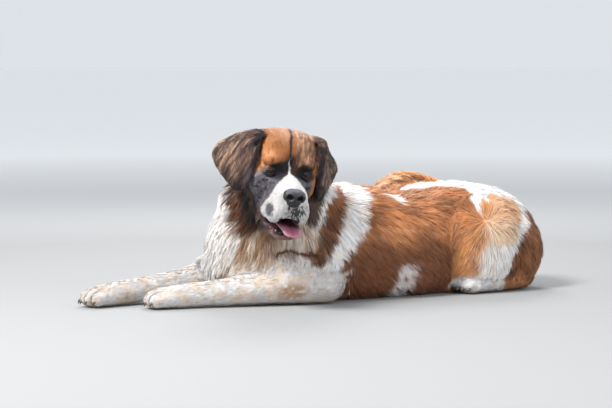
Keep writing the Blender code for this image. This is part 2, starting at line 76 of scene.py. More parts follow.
# Most tufts that one coat piece may hold; each tuft has five triangles.
SECTIONS = 4
SKIN_SHARE = 0.80
TUFT_LIMIT = 39000
PATCH = 0.003

FLESH = [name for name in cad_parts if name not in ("eye_left", "eye_right", "nose", "tongue")]


def head_matrix():
    """From the head's own axes (nose to -Y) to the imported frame."""
    return (
        Matrix.Translation(EYE_LINE + TO_BOX_MIDDLE)
        @ Matrix.Rotation(HEAD_YAW, 4, "Z")
        @ Matrix.Rotation(HEAD_NOD, 4, "X")
        @ Matrix.Rotation(HEAD_TILT, 4, "Y")
    )


HEAD = head_matrix()
HEAD_BACK = np.array(HEAD.inverted())
HEAD_TURN = np.array(HEAD.to_3x3())


def to_local(points):
    """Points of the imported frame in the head's own axes."""
    return points @ HEAD_BACK[:3, :3].T + HEAD_BACK[:3, 3]


def steps(low, high, value):
    """Smooth change from 0 at low to 1 at high."""
    part = np.clip((value - low) / (high - low), 0.0, 1.0)
    return part * part * (3.0 - 2.0 * part)


def mix(a, b, part):
    """Between two rows of colours or numbers."""
    part = np.asarray(part, dtype=float)
    if np.ndim(a) == 2 and np.ndim(part) == 1:
        part = part[:, None]
    return a * (1.0 - part) + np.asarray(b) * part


def noise(points, size, seed):
    """Smooth random numbers from 0 to 1 that change over a size in metres."""
    cell = points / size + 11.7 * seed
    base = np.floor(cell).astype(np.int64)
    part = cell - base
    part = part * part * (3.0 - 2.0 * part)
    total = np.zeros(len(points))
    for corner in range(8):
        step = np.array([corner & 1, corner >> 1 & 1, corner >> 2 & 1])
        x, y, z = (base + step).T
        key = x * 73856093 ^ y * 19349663 ^ z * 83492791
        key = (key ^ key >> 13) * 1274126177 & 0x7FFFFFFF
        key = (key ^ key >> 15) & 0xFFFF
        share = np.prod(np.where(step == 1, part, 1.0 - part), axis=1)
        total += share * key / 65535.0
    return total


def unit(vectors):
    """Rows scaled to length one."""
    return vectors / np.maximum(np.linalg.norm(vectors, axis=1), 1e-9)[:, None]


def srgb(red, green, blue):
    """Linear colour of a screen colour from 0 to 255."""
    value = np.array([red, green, blue]) / 255.0
    return np.where(value > 0.04045, ((value + 0.055) / 1.055) ** 2.4, value / 12.92)


# Mesh helpers.


def object_of(name, bm):
    """A mesh object made from a bmesh, which is freed."""
    mesh = bpy.data.meshes.new(name)
    bm.to_mesh(mesh)
    bm.free()
    thing = bpy.data.objects.new(name, mesh)
    bpy.context.scene.collection.objects.link(thing)
    return thing


def remove(*things):
    """Delete helper objects with their meshes."""
    for thing in things:
        mesh = thing.data
        bpy.data.objects.remove(thing, do_unlink=True)
        bpy.data.meshes.remove(mesh)


def work_on(thing):
    """Select one object only and make it the active one."""
    if bpy.context.object and bpy.context.object.mode != "OBJECT":
        bpy.ops.object.mode_set(mode="OBJECT")
    bpy.ops.object.select_all(action="DESELECT")
    bpy.context.view_layer.objects.active = thing
    thing.select_set(True)


def apply_all(thing):
    """Apply every modifier of an object, from the first to the last."""
    work_on(thing)
    for modifier in list(thing.modifiers):
        bpy.ops.object.modifier_apply(modifier=modifier.name)


def smooth_between(values, place):
    """Catmull-Rom value at a place along a list of numbers or vectors."""
    last = len(values) - 1
    index = min(int(place), last - 1)
    part = place - index
    a = values[max(index - 1, 0)]
    b = values[index]
    c = values[index + 1]
    d = values[min(index + 2, last)]
    return 0.5 * (
        2.0 * b
        + (c - a) * part
        + (2.0 * a - 5.0 * b + 4.0 * c - d) * part ** 2
        + (3.0 * b - a - 3.0 * c + d) * part ** 3
    )


def rounded_end(ring, reach):
    """Shrinking rings that close a loft, reaching out along its run."""
    centre, along, half_width, half_height = ring
    rings = []
    for angle in (25.0, 50.0, 72.0):
        turn = math.radians(angle)
        shrink = math.cos(turn)
        out = along * (reach * math.sin(turn))
        rings.append((centre + out, along, half_width * shrink, half_height * shrink))
    return rings


def loft(name, stations, sides=32, between=5, power=2.0, caps=(None, None)):
    """A closed body through stations of (centre, half width, half height)."""
    centres = [Vector(station[0]) for station in stations]
    widths = [station[1] for station in stations]
    heights = [station[2] for station in stations]
    rings = []
    for i in range((len(stations) - 1) * between + 1):
        place = i / between
        before = smooth_between(centres, max(place - 0.02, 0.0))
        after = smooth_between(centres, min(place + 0.02, len(stations) - 1.0))
        centre = smooth_between(centres, place)
        along = (after - before).normalized()
        rings.append((centre, along, smooth_between(widths, place), smooth_between(heights, place)))
    front_reach = caps[0] or min(rings[0][2:])
    back_reach = caps[1] or min(rings[-1][2:])
    rings = rounded_end(rings[0], -front_reach)[::-1] + rings + rounded_end(rings[-1], back_reach)
    bm = bmesh.new()
    loops = []
    for centre, along, half_width, half_height in rings:
        across = along.cross(Vector((0.0, 0.0, 1.0))).normalized()
        upward = across.cross(along).normalized()
        loop = []
        for i in range(sides):
            turn = 2.0 * math.pi * i / sides
            wide = math.copysign(abs(math.cos(turn)) ** (2.0 / power), math.cos(turn))
            high = math.copysign(abs(math.sin(turn)) ** (2.0 / power), math.sin(turn))
            loop.append(bm.verts.new(centre + across * (half_width * wide) + upward * (half_height * high)))
        loops.append(loop)
    for low, high in zip(loops, loops[1:]):
        for i in range(sides):
            j = (i + 1) % sides
            bm.faces.new((low[i], low[j], high[j], high[i]))
    bm.faces.new(list(reversed(loops[0])))
    bm.faces.new(loops[-1])
    bmesh.ops.recalc_face_normals(bm, faces=bm.faces)
    return object_of(name, bm)


def ball(name, centre, radii, turn=(0.0, 0.0, 0.0), segments=32, rings=20):
    """A sphere stretched to three radii, turned in degrees, with its place in its mesh."""
    bpy.ops.object.select_all(action="DESELECT")
    angles = [math.radians(angle) for angle in turn]
    bpy.ops.mesh.primitive_uv_sphere_add(
        segments=segments, ring_count=rings, radius=1.0, location=centre, rotation=angles, scale=radii
    )
    thing = bpy.context.object
    thing.name = name
    bpy.ops.object.transform_apply(location=True, rotation=True, scale=True)
    return thing


def join(name, things):
    """Join several objects into one."""
    work_on(things[0])
    for thing in things:
        thing.select_set(True)
    bpy.ops.object.join()
    joined = bpy.context.object
    joined.name = name
    return joined


def melt(thing, voxel, rounds):
    """Melt overlapping shapes into one skin and soften it."""
    remesh = thing.modifiers.new("melt", "REMESH")
    remesh.mode = "VOXEL"
    remesh.voxel_size = voxel
    soften = thing.modifiers.new("soften", "SMOOTH")
    soften.factor = 0.5
    soften.iterations = rounds
    apply_all(thing)
    return thing


def points_of(thing):
    """Vertex places of a mesh as rows."""
    flat = np.empty(len(thing.data.vertices) * 3)
    thing.data.vertices.foreach_get("co", flat)
    return flat.reshape(-1, 3)


def normals_of(thing):
    """Vertex normals of a mesh as rows."""
    flat = np.empty(len(thing.data.vertices) * 3, dtype=np.float32)
    thing.data.vertex_normals.foreach_get("vector", flat)
    return flat.reshape(-1, 3).astype(float)


def set_points(thing, points):
    """Move every vertex of a mesh to its row."""
    thing.data.vertices.foreach_set("co", points.ravel())
    thing.data.update()


def edges_of(thing):
    """Vertex pairs of the edges as rows."""
    flat = np.empty(len(thing.data.edges) * 2, dtype=np.int32)
    thing.data.edges.foreach_get("vertices", flat)
    return flat.reshape(-1, 2)


def spread(values, edges, rounds):
    """Average values over a mesh along its edges."""
    values = np.array(values, dtype=float)
    shape = values.shape
    rows = values.reshape(shape[0], -1)
    count = np.bincount(edges.ravel(), minlength=shape[0]).astype(float) + 1.0
    for _ in range(rounds):
        total = rows.copy()
        for k in range(rows.shape[1]):
            total[:, k] += np.bincount(edges[:, 0], rows[edges[:, 1], k], shape[0])
            total[:, k] += np.bincount(edges[:, 1], rows[edges[:, 0], k], shape[0])
        rows = total / count[:, None]
    return rows.reshape(shape)


# Shapes under the coat, in the dog's own axes.


def trunk_shapes():
    """The trunk from the chest front to the rump."""
    def station(y, top, half_width, low=-0.03):
        return ((0.0, y, (top + low) / 2.0), half_width, (top - low) / 2.0)

    stations = [
        station(-0.250, 0.300, 0.165),
        station(-0.150, 0.325, 0.185),
        station(-0.020, 0.332, 0.195),
        station(0.090, 0.332, 0.200),
        station(0.215, 0.301, 0.198),
        station(0.330, 0.317, 0.174),
        station(0.440, 0.331, 0.170),
        station(0.545, 0.318, 0.172),
        station(0.620, 0.290, 0.148),
    ]
    return [
        loft("barrel_form", stations, power=2.35, caps=(0.100, 0.115)),
        ball("chest_form", (-0.012, -0.165, 0.165), (0.185, 0.222, 0.175)),
        ball("breast_form", (-0.030, -0.235, 0.110), (0.140, 0.150, 0.115)),
    ]


def neck_shapes():
    """The neck and its ruff, bending to the left up to the head."""
    stations = [
        ((0.000, 0.020, 0.205), 0.165, 0.125),
        ((0.000, -0.090, 0.235), 0.175, 0.128),
        ((0.035, -0.170, 0.280), 0.168, 0.128),
        ((0.090, -0.222, 0.330), 0.140, 0.122),
        ((0.128, -0.240, 0.375), 0.108, 0.100),
    ]
    nape = ball("nape_form", (0, 0.150, 0.000), (0.086, 0.070, 0.094))
    throat = ball("throat_form", (0, 0.090, -0.140), (0.074, 0.078, 0.050))
    for thing in (nape, throat):
        thing.data.transform(Matrix.Translation(-TO_BOX_MIDDLE) @ HEAD)
    ruff = ball("ruff_form", (-0.018, -0.232, 0.285), (0.112, 0.122, 0.092))
    return [loft("neck_form", stations), ruff, nape, throat]


def foreleg_shapes(elbow, toe):
    """A foreleg lying on the floor, from the upper arm to the toes."""
    along = (toe - elbow).normalized()
    flat = Vector((along.x, along.y, 0.0)).normalized()
    sideways = Vector((-flat.y, flat.x, 0.0))
    wrist = toe - flat * PAW_LENGTH
    wrist.z = 0.036
    fore_mid = elbow.lerp(wrist, 0.5)
    outward = math.copysign(1.0, elbow.x)
    stations = [
        (elbow - flat * 0.012, 0.056, 0.070),
        (elbow + flat * 0.090 - Vector((0, 0, 0.008)), 0.055, 0.062),
        (fore_mid - Vector((0, 0, 0.004)), 0.048, 0.048),
        (wrist, 0.040, 0.038),
        (wrist + flat * 0.060 - Vector((0, 0, 0.004)), 0.050, 0.035),
        (wrist + flat * 0.110 - Vector((0, 0, 0.008)), 0.048, 0.030),
    ]
    shoulder = (elbow.x - outward * 0.025, elbow.y - 0.005, 0.145)
    shapes = [
        loft("arm_form", stations),
        ball("shoulder_form", shoulder, (0.068, 0.115, 0.118), turn=(-20, 0, 0)),
    ]
    for i in range(4):
        offset = (i - 1.5) * 0.026
        shorter = 0.010 * abs(i - 1.5)
        tip = toe + sideways * offset - flat * (0.020 + shorter)
        turn = math.degrees(math.atan2(flat.x, -flat.y))
        shapes.append(ball("toe_form", (tip.x, tip.y, 0.024), (0.0145, 0.026, 0.026), turn=(0, 0, turn)))
    return shapes


def hindleg_shapes(side):
    """A folded hind leg: thigh against the flank and the foot flat on the floor."""
    foot_x = side * HIND_FOOT_X
    stations = [
        ((side * 0.150, HOCK_Y, 0.040), 0.036, 0.040),
        ((side * 0.162, 0.520, 0.032), 0.036, 0.034),
        ((foot_x, HIND_TOE_Y + 0.090, 0.030), 0.042, 0.032),
        ((foot_x, HIND_TOE_Y + 0.045, 0.027), 0.044, 0.028),
    ]
    shapes = [
        ball("thigh_form", (side * 0.122, 0.462, 0.142), (0.100, 0.150, 0.146)),
        ball("buttock_form", (side * 0.078, 0.596, 0.118), (0.106, 0.136, 0.131)),
        loft("hind_foot_form", stations),
    ]
    for i in range(4):
        offset = (i - 1.5) * 0.021
        shorter = 0.008 * abs(i - 1.5)
        centre = (foot_x + offset, HIND_TOE_Y + 0.020 + shorter, 0.022)
        shapes.append(ball("hind_toe_form", centre, (0.013, 0.024, 0.023)))
    return shapes


TAIL_STATIONS = [
    ((0.000, 0.650, 0.236), 0.042, 0.036),
    ((-0.066, 0.684, 0.248), 0.044, 0.040),
    ((-0.130, 0.630, 0.256), 0.048, 0.044),
    ((-0.154, 0.550, 0.268), 0.052, 0.050),
    ((-0.148, 0.465, 0.286), 0.054, 0.056),
    ((-0.128, 0.390, 0.300), 0.056, 0.060),
    ((-0.108, 0.320, 0.302), 0.052, 0.056),
    ((-0.100, 0.262, 0.297), 0.038, 0.040),
]


def ear_shape(side, reach, sweep, close):
    """The flap of a hanging ear, from the skull over its fold to the tip."""
    rows = [
        [(0.060, 0.046, 0.090), (0.062, 0.085, 0.097), (0.060, 0.125, 0.080)],
        [(0.078, 0.038, 0.088), (0.112, 0.068, 0.088), (0.106, 0.122, 0.066)],
        [(0.080, 0.034, 0.062), (0.154, 0.070, 0.062), (0.138, 0.124, 0.040)],
        [(0.083, 0.031, 0.030), (0.188, 0.070, 0.026), (0.158, 0.122, 0.006)],
        [(0.092, 0.030, -0.012), (0.170, 0.064, -0.020), (0.150, 0.105, -0.026)],
        [(0.099, 0.037, -0.050), (0.136, 0.054, -0.056), (0.136, 0.085, -0.055)],
        [(0.112, 0.046, -0.070), (0.122, 0.054, -0.075), (0.127, 0.068, -0.070)],
    ]
    down = 24
    across = 12
    bm = bmesh.new()
    lines = []
    for i in range(down + 1):
        place = i / down * 5.75
        line = []
        for j in range(across + 1):
            part = 0.10 + 1.80 * j / across
            column = [smooth_between([Vector(p) for p in row], part) for row in rows]
            point = smooth_between(column, place)
            outward = max(point.x - 0.100, 0.0)
            high = min(max((point.z - EAR_FOLD_LOW) / (EAR_FOLD_HIGH - EAR_FOLD_LOW), 0.0), 1.0)
            x = side * (point.x + outward * (reach * (1.0 - close * high) - 1.0))
            line.append(bm.verts.new((x, point.y + outward * sweep, point.z)))
        lines.append(line)
    for upper, lower in zip(lines, lines[1:]):
        for i in range(across):
            bm.faces.new((upper[i], upper[i + 1], lower[i + 1], lower[i]))
    bmesh.ops.recalc_face_normals(bm, faces=bm.faces)
    ear = object_of("ear_form", bm)
    shell = ear.modifiers.new("thickness", "SOLIDIFY")
    shell.thickness = 0.0085
    shell.offset = 0.0
    apply_all(ear)
    return ear


def head_shapes():
    """Skull, muzzle, cheeks, brows, flews and lower jaw, in the head's own axes."""
    cranium = [
        ((0, 0.024, 0.030), 0.076, 0.071),
        ((0, 0.065, 0.030), 0.086, 0.080),
        ((0, 0.110, 0.028), 0.088, 0.081),
        ((0, 0.150, 0.018), 0.074, 0.067),
    ]
    muzzle = [
        ((0, 0.050, -0.052), 0.064, 0.054),
        ((0, 0.000, -0.056), 0.056, 0.053),
        ((0, -0.045, -0.061), 0.049, 0.050),
        ((0, -0.080, -0.065), 0.047, 0.048),
        ((0, -0.100, -0.068), 0.044, 0.044),
    ]
    jaw = [
        ((0, 0.062, -0.142), 0.056, 0.026),
        ((0, 0.005, -0.152), 0.050, 0.017),
        ((0, -0.045, -0.161), 0.040, 0.013),
        ((0, -0.078, -0.164), 0.030, 0.012),
    ]
    shapes = [
        loft("cranium_form", cranium, power=3.1, caps=(0.034, 0.045)),
        ball("throat_form", (0, 0.075, -0.085), (0.070, 0.085, 0.062)),
        ball("bridge_form", (0, -0.040, -0.021), (0.030, 0.078, 0.020), turn=(7, 0, 0)),
        ball("ear_base_form", (0.086, 0.052, 0.026), (0.011, 0.026, 0.056)),
        ball("ear_base_form", (0.087, 0.072, 0.064), (0.015, 0.036, 0.026)),
        loft("muzzle_form", muzzle, power=2.7, caps=(0.05, 0.024)),
        loft("jaw_form", jaw, power=2.4),
    ]
    for side in (-1, 1):
        shapes += [
            ball("cheek_form", (side * 0.054, 0.070, -0.030), (0.042, 0.072, 0.062)),
            ball("brow_form", (side * 0.043, 0.012, 0.030), (0.036, 0.026, 0.022)),
            ball("flew_form", (side * 0.034, -0.068, -0.092), (0.025, 0.054, 0.042), turn=(-6, 0, 0)),
            ball("lip_form", (side * 0.045, -0.012, -0.098), (0.022, 0.048, 0.034)),
        ]
    return shapes


class Nearest:
    """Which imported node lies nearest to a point."""

    def __init__(self, names):
        self.names = list(names)
        rows = []
        owners = []
        for index, name in enumerate(self.names):
            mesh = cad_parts[name].data
            for polygon in mesh.polygons:
                rows.append(polygon.center)
                owners.append(index)
            for vertex in mesh.vertices:
                rows.append(vertex.co)
                owners.append(index)
        self.owners = owners
        self.tree = KDTree(len(rows))
        for index, row in enumerate(rows):
            self.tree.insert(row, index)
        self.tree.balance()

    def of(self, points):
        """Index in names for each row."""
        find = self.tree.find
        return np.array([self.owners[find(point)[1]] for point in points.tolist()])


nearest = Nearest(FLESH)

# Depth of the coat over the skin, tuft length, half width and tufts per square centimetre.
COAT = {
    "head": (0.0034, 0.0100, 0.00050, 60.0),
    "lower_jaw": (0.0030, 0.0070, 0.00048, 60.0),
    "ear_left": (0.0042, 0.028, 0.00062, 52.0),
    "ear_right": (0.0046, 0.034, 0.00062, 52.0),
    "neck": (0.021, 0.056, 0.00092, 20.0),
    "chest": (0.019, 0.052, 0.00092, 19.0),
    "foreleg_left": (0.0055, 0.016, 0.00066, 30.0),
    "foreleg_right": (0.0055, 0.017, 0.00066, 30.0),
    "forepaw_left": (0.0034, 0.0095, 0.00058, 38.0),
    "forepaw_right": (0.0034, 0.0095, 0.00058, 38.0),
    "barrel": (0.016, 0.046, 0.00090, 19.5),
    "rump": (0.016, 0.050, 0.00090, 18.5),
    "thigh_left": (0.018, 0.054, 0.00090, 19.0),
    "thigh_right": (0.018, 0.054, 0.00090, 19.0),
    "hind_foot_left": (0.0050, 0.018, 0.00080, 24.0),
    "hind_foot_right": (0.0050, 0.018, 0.00080, 24.0),
    "tail_root": (0.022, 0.070, 0.00095, 20.0),
    "tail_end": (0.030, 0.080, 0.00092, 26.0),
}


CREASE_PATH = ((0.065, -0.262, 0.147), (0.076, -0.226, 0.158), (0.083, -0.206, 0.151), (0.097, -0.183, 0.144),
               (0.105, -0.164, 0.142))


def body_skin():
    """Trunk, neck, legs and tail under the coat."""
    tail = loft("tail_form", TAIL_STATIONS, sides=20)
    shapes = trunk_shapes() + neck_shapes() + [tail]
    shapes += foreleg_shapes(LEFT_ELBOW, LEFT_TOE) + foreleg_shapes(RIGHT_ELBOW, RIGHT_TOE)
    shapes += hindleg_shapes(1) + hindleg_shapes(-1)
    body = melt(join("skin", shapes), BODY_VOXEL, 5)
    body.data.transform(Matrix.Translation(TO_BOX_MIDDLE))
    table = np.array([COAT[name][0] for name in FLESH])
    part = nearest.of(points_of(body))
    edges = edges_of(body)
    depth = spread(table[part], edges, 8)
    for _ in range(3):
        points = points_of(body)
        points[:, 2] = np.maximum(points[:, 2], -0.004)
        normals = unit(spread(normals_of(body), edges, 4))
        set_points(body, points - normals * depth[:, None] / 3.0)
    melt(body, BODY_VOXEL, 3)
    crease = [Vector((x, y, z)) for x, y, z in CREASE_PATH]
    toes = [TO_BOX_MIDDLE + toe - Vector((0, 0, 0.004)) for toe in (LEFT_TOE, RIGHT_TOE)]
    refine(body, crease, 0.022)
    refine(body, toes, 0.058)
    refine(body, toes, 0.054)
    points = points_of(body)
    gap, reach = crease_gap(points)
    points -= normals_of(body) * (0.013 * np.exp(-((gap / 0.008) ** 2)) * reach)[:, None]
    points += part_toes(points, normals_of(body))
    points[:, 2] = np.maximum(points[:, 2], LOWEST_SKIN)
    set_points(body, points)
    return body


TOE_GROOVE = 0.0075


def part_toes(points, normals):
    """Push that sinks three grooves between the four toes of each forepaw."""
    push = np.zeros(len(points))
    for elbow, toe in ((LEFT_ELBOW, LEFT_TOE), (RIGHT_ELBOW, RIGHT_TOE)):
        along = (toe - elbow).normalized()
        flat = np.array(Vector((along.x, along.y, 0.0)).normalized())
        sideways = np.array((-flat[1], flat[0], 0.0))
        offset = points - np.array(toe + TO_BOX_MIDDLE)
        ahead = offset @ flat
        across = offset @ sideways
        reach = steps(-0.062, -0.030, ahead) * (np.abs(ahead) < 0.08) * (np.abs(across) < 0.08)
        for middle in (-0.026, 0.0, 0.026):
            push -= TOE_GROOVE * np.exp(-(((across - middle) / 0.0042) ** 2)) * reach
    return normals * push[:, None]


def eye_centre(side):
    """Middle of an eyeball in the head's own axes."""
    return np.array([side * EYE_SPACING / 2.0, 0.004, 0.0])


def refine(thing, centres, radius):
    """Subdivide the faces near some points of the head."""
    bm = bmesh.new()
    bm.from_mesh(thing.data)
    chosen = set()
    for edge in bm.edges:
        middle = (edge.verts[0].co + edge.verts[1].co) / 2.0
        if any((middle - Vector(centre)).length < radius for centre in centres):
            chosen.add(edge)
    bmesh.ops.subdivide_edges(bm, edges=list(chosen), cuts=1, use_grid_fill=True)
    bmesh.ops.triangulate(bm, faces=[face for face in bm.faces if len(face.verts) > 4])
    bm.to_mesh(thing.data)
    bm.free()


FISSURE_HALF = 0.0128
FISSURE_UP = 0.0043
FISSURE_DOWN = 0.0049
FISSURE_SLANT = 0.20
LID_THICKNESS = 0.0024


def fissure(local, side):
    """How far a point is from the eye's opening: below 1 is inside it."""
    centre = eye_centre(side)
    across = (local[:, 0] - centre[0]) * side
    up = local[:, 2] - centre[2] + FISSURE_SLANT * across + 0.0012
    place = across / FISSURE_HALF
    above = FISSURE_UP * np.clip(1.0 - place ** 2, 0.0, 1.0) ** 0.65
    sag = FISSURE_DOWN * np.clip(1.0 - np.clip(place + 0.12, -1.0, 1.0) ** 2, 0.0, 1.0) ** 0.8
    height = np.where(up > 0.0, above, sag) + 0.0002
    return np.where(np.abs(place) < 1.0, np.abs(up) / height, 2.0 + 8.0 * (np.abs(place) - 1.0)), across, up


def groove(local, start, end, width, depth):
    """Push along a line between two points, deepest at its middle."""
    start, end = np.array(start), np.array(end)
    along = end - start
    part = np.clip((local - start) @ along / (along @ along), 0.0, 1.0)
    away = np.linalg.norm(local - start - part[:, None] * along, axis=1)
    fade = np.clip(4.0 * part * (1.0 - part) + 0.15, 0.0, 1.0)
    return depth * fade * np.exp(-((away / width) ** 2))


def sculpt_face(head):
    """Furrow, brow and cheek folds, lids and lips, in the head's own axes."""
    local = points_of(head)
    normals = normals_of(head)
    push = np.zeros(len(local))
    push -= groove(local, (0, 0.060, 0.108), (0, -0.022, 0.004), 0.0075, 0.0055)
    for side in (-1, 1):
        push += groove(local, (side * 0.018, 0.000, 0.040), (side * 0.074, 0.006, 0.022), 0.009, 0.0055)
        push -= groove(local, (side * 0.014, -0.010, 0.022), (side * 0.044, 0.000, 0.050), 0.0045, 0.0022)
        push -= groove(local, (side * 0.030, -0.002, 0.062), (side * 0.066, 0.014, 0.056), 0.0050, 0.0016)
        push -= groove(local, (side * 0.026, -0.008, -0.016), (side * 0.046, -0.020, -0.060), 0.0055, 0.0026)
        push -= groove(local, (side * 0.070, 0.012, -0.024), (side * 0.066, 0.004, -0.090), 0.0060, 0.0030)
        push += groove(local, (side * 0.030, -0.012, -0.024), (side * 0.070, 0.010, -0.026), 0.0080, 0.0035)
        push -= groove(local, (side * 0.060, -0.030, -0.070), (side * 0.056, -0.098, -0.074), 0.0070, 0.0022)
        push += groove(local, (side * 0.050, -0.030, -0.120), (side * 0.042, -0.100, -0.118), 0.0070, 0.0024)
    push -= groove(local, (0, -0.118, -0.072), (0, -0.112, -0.106), 0.0028, 0.0060)
    local = local + normals * push[:, None]
    for side in (-1, 1):
        centre = eye_centre(side)
        shell = EYE_RADIUS + LID_THICKNESS
        offset = local - centre
        radial = np.hypot(offset[:, 0], offset[:, 2])
        front = offset[:, 1] < 0.020
        dome = -np.sqrt(np.maximum(shell ** 2 - radial ** 2, 0.0))
        rim = steps(shell * 1.30, shell * 0.86, radial)
        lid = mix(offset[:, 1], dome, rim)
        lid = np.where(radial < shell, lid, np.minimum(offset[:, 1], lid))
        gap, across, up = fissure(local, side)
        pit = -np.sqrt(np.maximum(EYE_RADIUS ** 2 - radial ** 2, 0.0)) + 0.0030
        pit = np.minimum(pit, -0.0050)
        inside = steps(1.12, 0.88, gap)
        depth = mix(lid, np.maximum(pit, lid), inside)
        fold = np.exp(-(((up - 0.0100 + 0.0030 * (across / FISSURE_HALF) ** 2) / 0.0015) ** 2))
        bag = np.exp(-(((up + 0.0125 - 0.0035 * (across / FISSURE_HALF) ** 2) / 0.0020) ** 2))
        near = steps(0.021, 0.011, np.abs(across))
        depth += near * (0.0020 * fold + 0.0018 * bag)
        chosen = front & (radial < shell * 1.6)
        local[:, 1] = np.where(chosen, centre[1] + depth, local[:, 1])
    set_points(head, local)


def head_skin():
    """The head and ears under the coat, with its folds and lids."""
    head = melt(join("head_skin", head_shapes()), HEAD_VOXEL, 4)
    part = points_of(head)
    depth = 0.0034 - 0.0010 * steps(-0.03, -0.09, part[:, 1])
    set_points(head, part - normals_of(head) * depth[:, None])
    ears = [ear_shape(1, 0.70, 0.55, 0.65), ear_shape(-1, 1.12, 0.0, 0.0)]
    head = melt(join("head_skin", [head] + ears), HEAD_VOXEL, 2)
    centres = [eye_centre(-1), eye_centre(1)]
    refine(head, centres + [(0.0, -0.090, -0.105)], 0.024)
    refine(head, centres, 0.018)
    sculpt_face(head)
    head.data.transform(HEAD)
    return head


def make_skin():
    """One skin of the whole dog, without a seam."""
    body = body_skin()
    head = head_skin()
    union = body.modifiers.new("union", "BOOLEAN")
    union.operation = "UNION"
    union.solver = "EXACT"
    union.object = head
    apply_all(body)
    remove(head)
    bm = bmesh.new()
    bm.from_mesh(body.data)
    bmesh.ops.triangulate(bm, faces=bm.faces)
    bmesh.ops.remove_doubles(bm, verts=bm.verts, dist=0.00005)
    bm.to_mesh(body.data)
    bm.free()
    points = points_of(body)
    local = to_local(points)
    seam = steps(0.060, 0.110, local[:, 1]) * steps(0.26, 0.19, local[:, 1]) * steps(-0.20, -0.14, local[:, 2])
    edges = edges_of(body)
    soft = spread(points, edges, 14)
    set_points(body, mix(points, soft, seam))
    return body


# Markings.

WHITE = srgb(246, 242, 239)
CREAM = srgb(222, 200, 174)
TAN = srgb(178, 134, 94)
RED = srgb(202, 134, 86)
RED_DARK = srgb(118, 72, 46)
ORANGE = srgb(216, 150, 96)
PALE_ORANGE = srgb(238, 204, 170)
BROWN = srgb(100, 64, 42)
BLACK = srgb(34, 30, 33)
GREY = srgb(108, 102, 110)
FOREHEAD = srgb(166, 108, 66)
EAR_BROWN = srgb(122, 94, 80)
EAR_DARK = srgb(46, 38, 42)
LIP = srgb(38, 30, 34)
GUM = srgb(168, 104, 112)

# Edges of the marks on the left side: heights and how far back each edge lies there.
SADDLE_FRONT = ((0.064, 0.092, 0.107, 0.142, 0.188, 0.226, 0.263, 0.293, 0.329),
                (-0.142, -0.130, -0.094, -0.045, -0.003, 0.018, 0.032, 0.064, 0.082))
STRIPE_BACK = ((0.105, 0.128, 0.155, 0.187, 0.223, 0.251, 0.281, 0.305, 0.330),
               (-0.150, -0.128, -0.104, -0.082, -0.064, -0.050, -0.028, -0.006, 0.012))
STRIPE_FRONT = ((0.105, 0.148, 0.168, 0.193, 0.224, 0.255, 0.286, 0.303, 0.330),
                (-0.172, -0.170, -0.160, -0.148, -0.136, -0.126, -0.112, -0.080, -0.030))
PATCH_FRONT = ((0.076, 0.112, 0.148, 0.177, 0.206, 0.235, 0.263, 0.300),
               (0.345, 0.345, 0.358, 0.376, 0.395, 0.412, 0.440, 0.450))
PATCH_BACK = ((0.100, 0.120, 0.131, 0.161, 0.188, 0.216, 0.249, 0.280),
              (0.460, 0.485, 0.520, 0.562, 0.592, 0.618, 0.632, 0.600))
BAND_BACK = ((0.030, 0.080, 0.109, 0.138, 0.166, 0.199, 0.228, 0.250, 0.290),
             (0.515, 0.527, 0.550, 0.572, 0.598, 0.636, 0.668, 0.690, 0.710))
CREASE = ((-0.262, -0.244, -0.226, -0.213, -0.201, -0.183, -0.164, -0.150),
          (0.147, 0.153, 0.158, 0.154, 0.148, 0.144, 0.142, 0.140))

# Outlines seen from above: to the left, and back.
WEDGE = [(0.034, 0.151), (-0.002, 0.238), (0.068, 0.202), (0.058, 0.170)]
CROUP = [(-0.105, 0.290), (-0.062, 0.310), (-0.045, 0.370), (-0.020, 0.410), (-0.010, 0.438), (0.034, 0.458),
         (0.052, 0.440), (0.084, 0.430), (0.088, 0.442), (0.076, 0.454), (0.054, 0.480), (0.062, 0.498),
         (0.022, 0.518), (0.018, 0.538), (0.038, 0.546), (0.014, 0.572), (0.024, 0.596), (0.012, 0.612),
         (0.034, 0.650), (-0.02, 0.730), (-0.12, 0.740), (-0.20, 0.660), (-0.19, 0.500), (-0.165, 0.400),
         (-0.140, 0.310)]

# Outlines on the head's own axes: to the left, and up.
RUFF = [(-0.02, -0.10), (-0.03, -0.19), (-0.045, -0.215), (-0.073, -0.232), (-0.096, -0.222), (-0.108, -0.195),
        (-0.114, -0.171), (-0.120, -0.141), (-0.127, -0.10), (-0.135, -0.05), (-0.12, 0.02), (-0.09, 0.06),
        (-0.05, 0.02)]
RUFF_DARK = [(-0.01, -0.10), (-0.02, -0.185), (-0.045, -0.196), (-0.068, -0.172), (-0.080, -0.137),
             (-0.090, -0.108), (-0.095, -0.06), (-0.09, 0.02), (-0.05, 0.02)]
LEFT_CHEEK_DARK = [(0.04, 0.06), (0.10, 0.09), (0.16, 0.03), (0.140, -0.06), (0.134, -0.11), (0.124, -0.152),
                   (0.095, -0.158), (0.066, -0.140), (0.050, -0.080)]

# Outline on the side of the muzzle: back, and up.
SPOT = [(-0.046, -0.092), (-0.060, -0.081), (-0.082, -0.076), (-0.104, -0.079), (-0.112, -0.092),
        (-0.098, -0.108), (-0.072, -0.113), (-0.052, -0.109)]


def curve(table, value):
    """Straight-line value of a two-row table."""
    return np.interp(value, table[0], table[1])


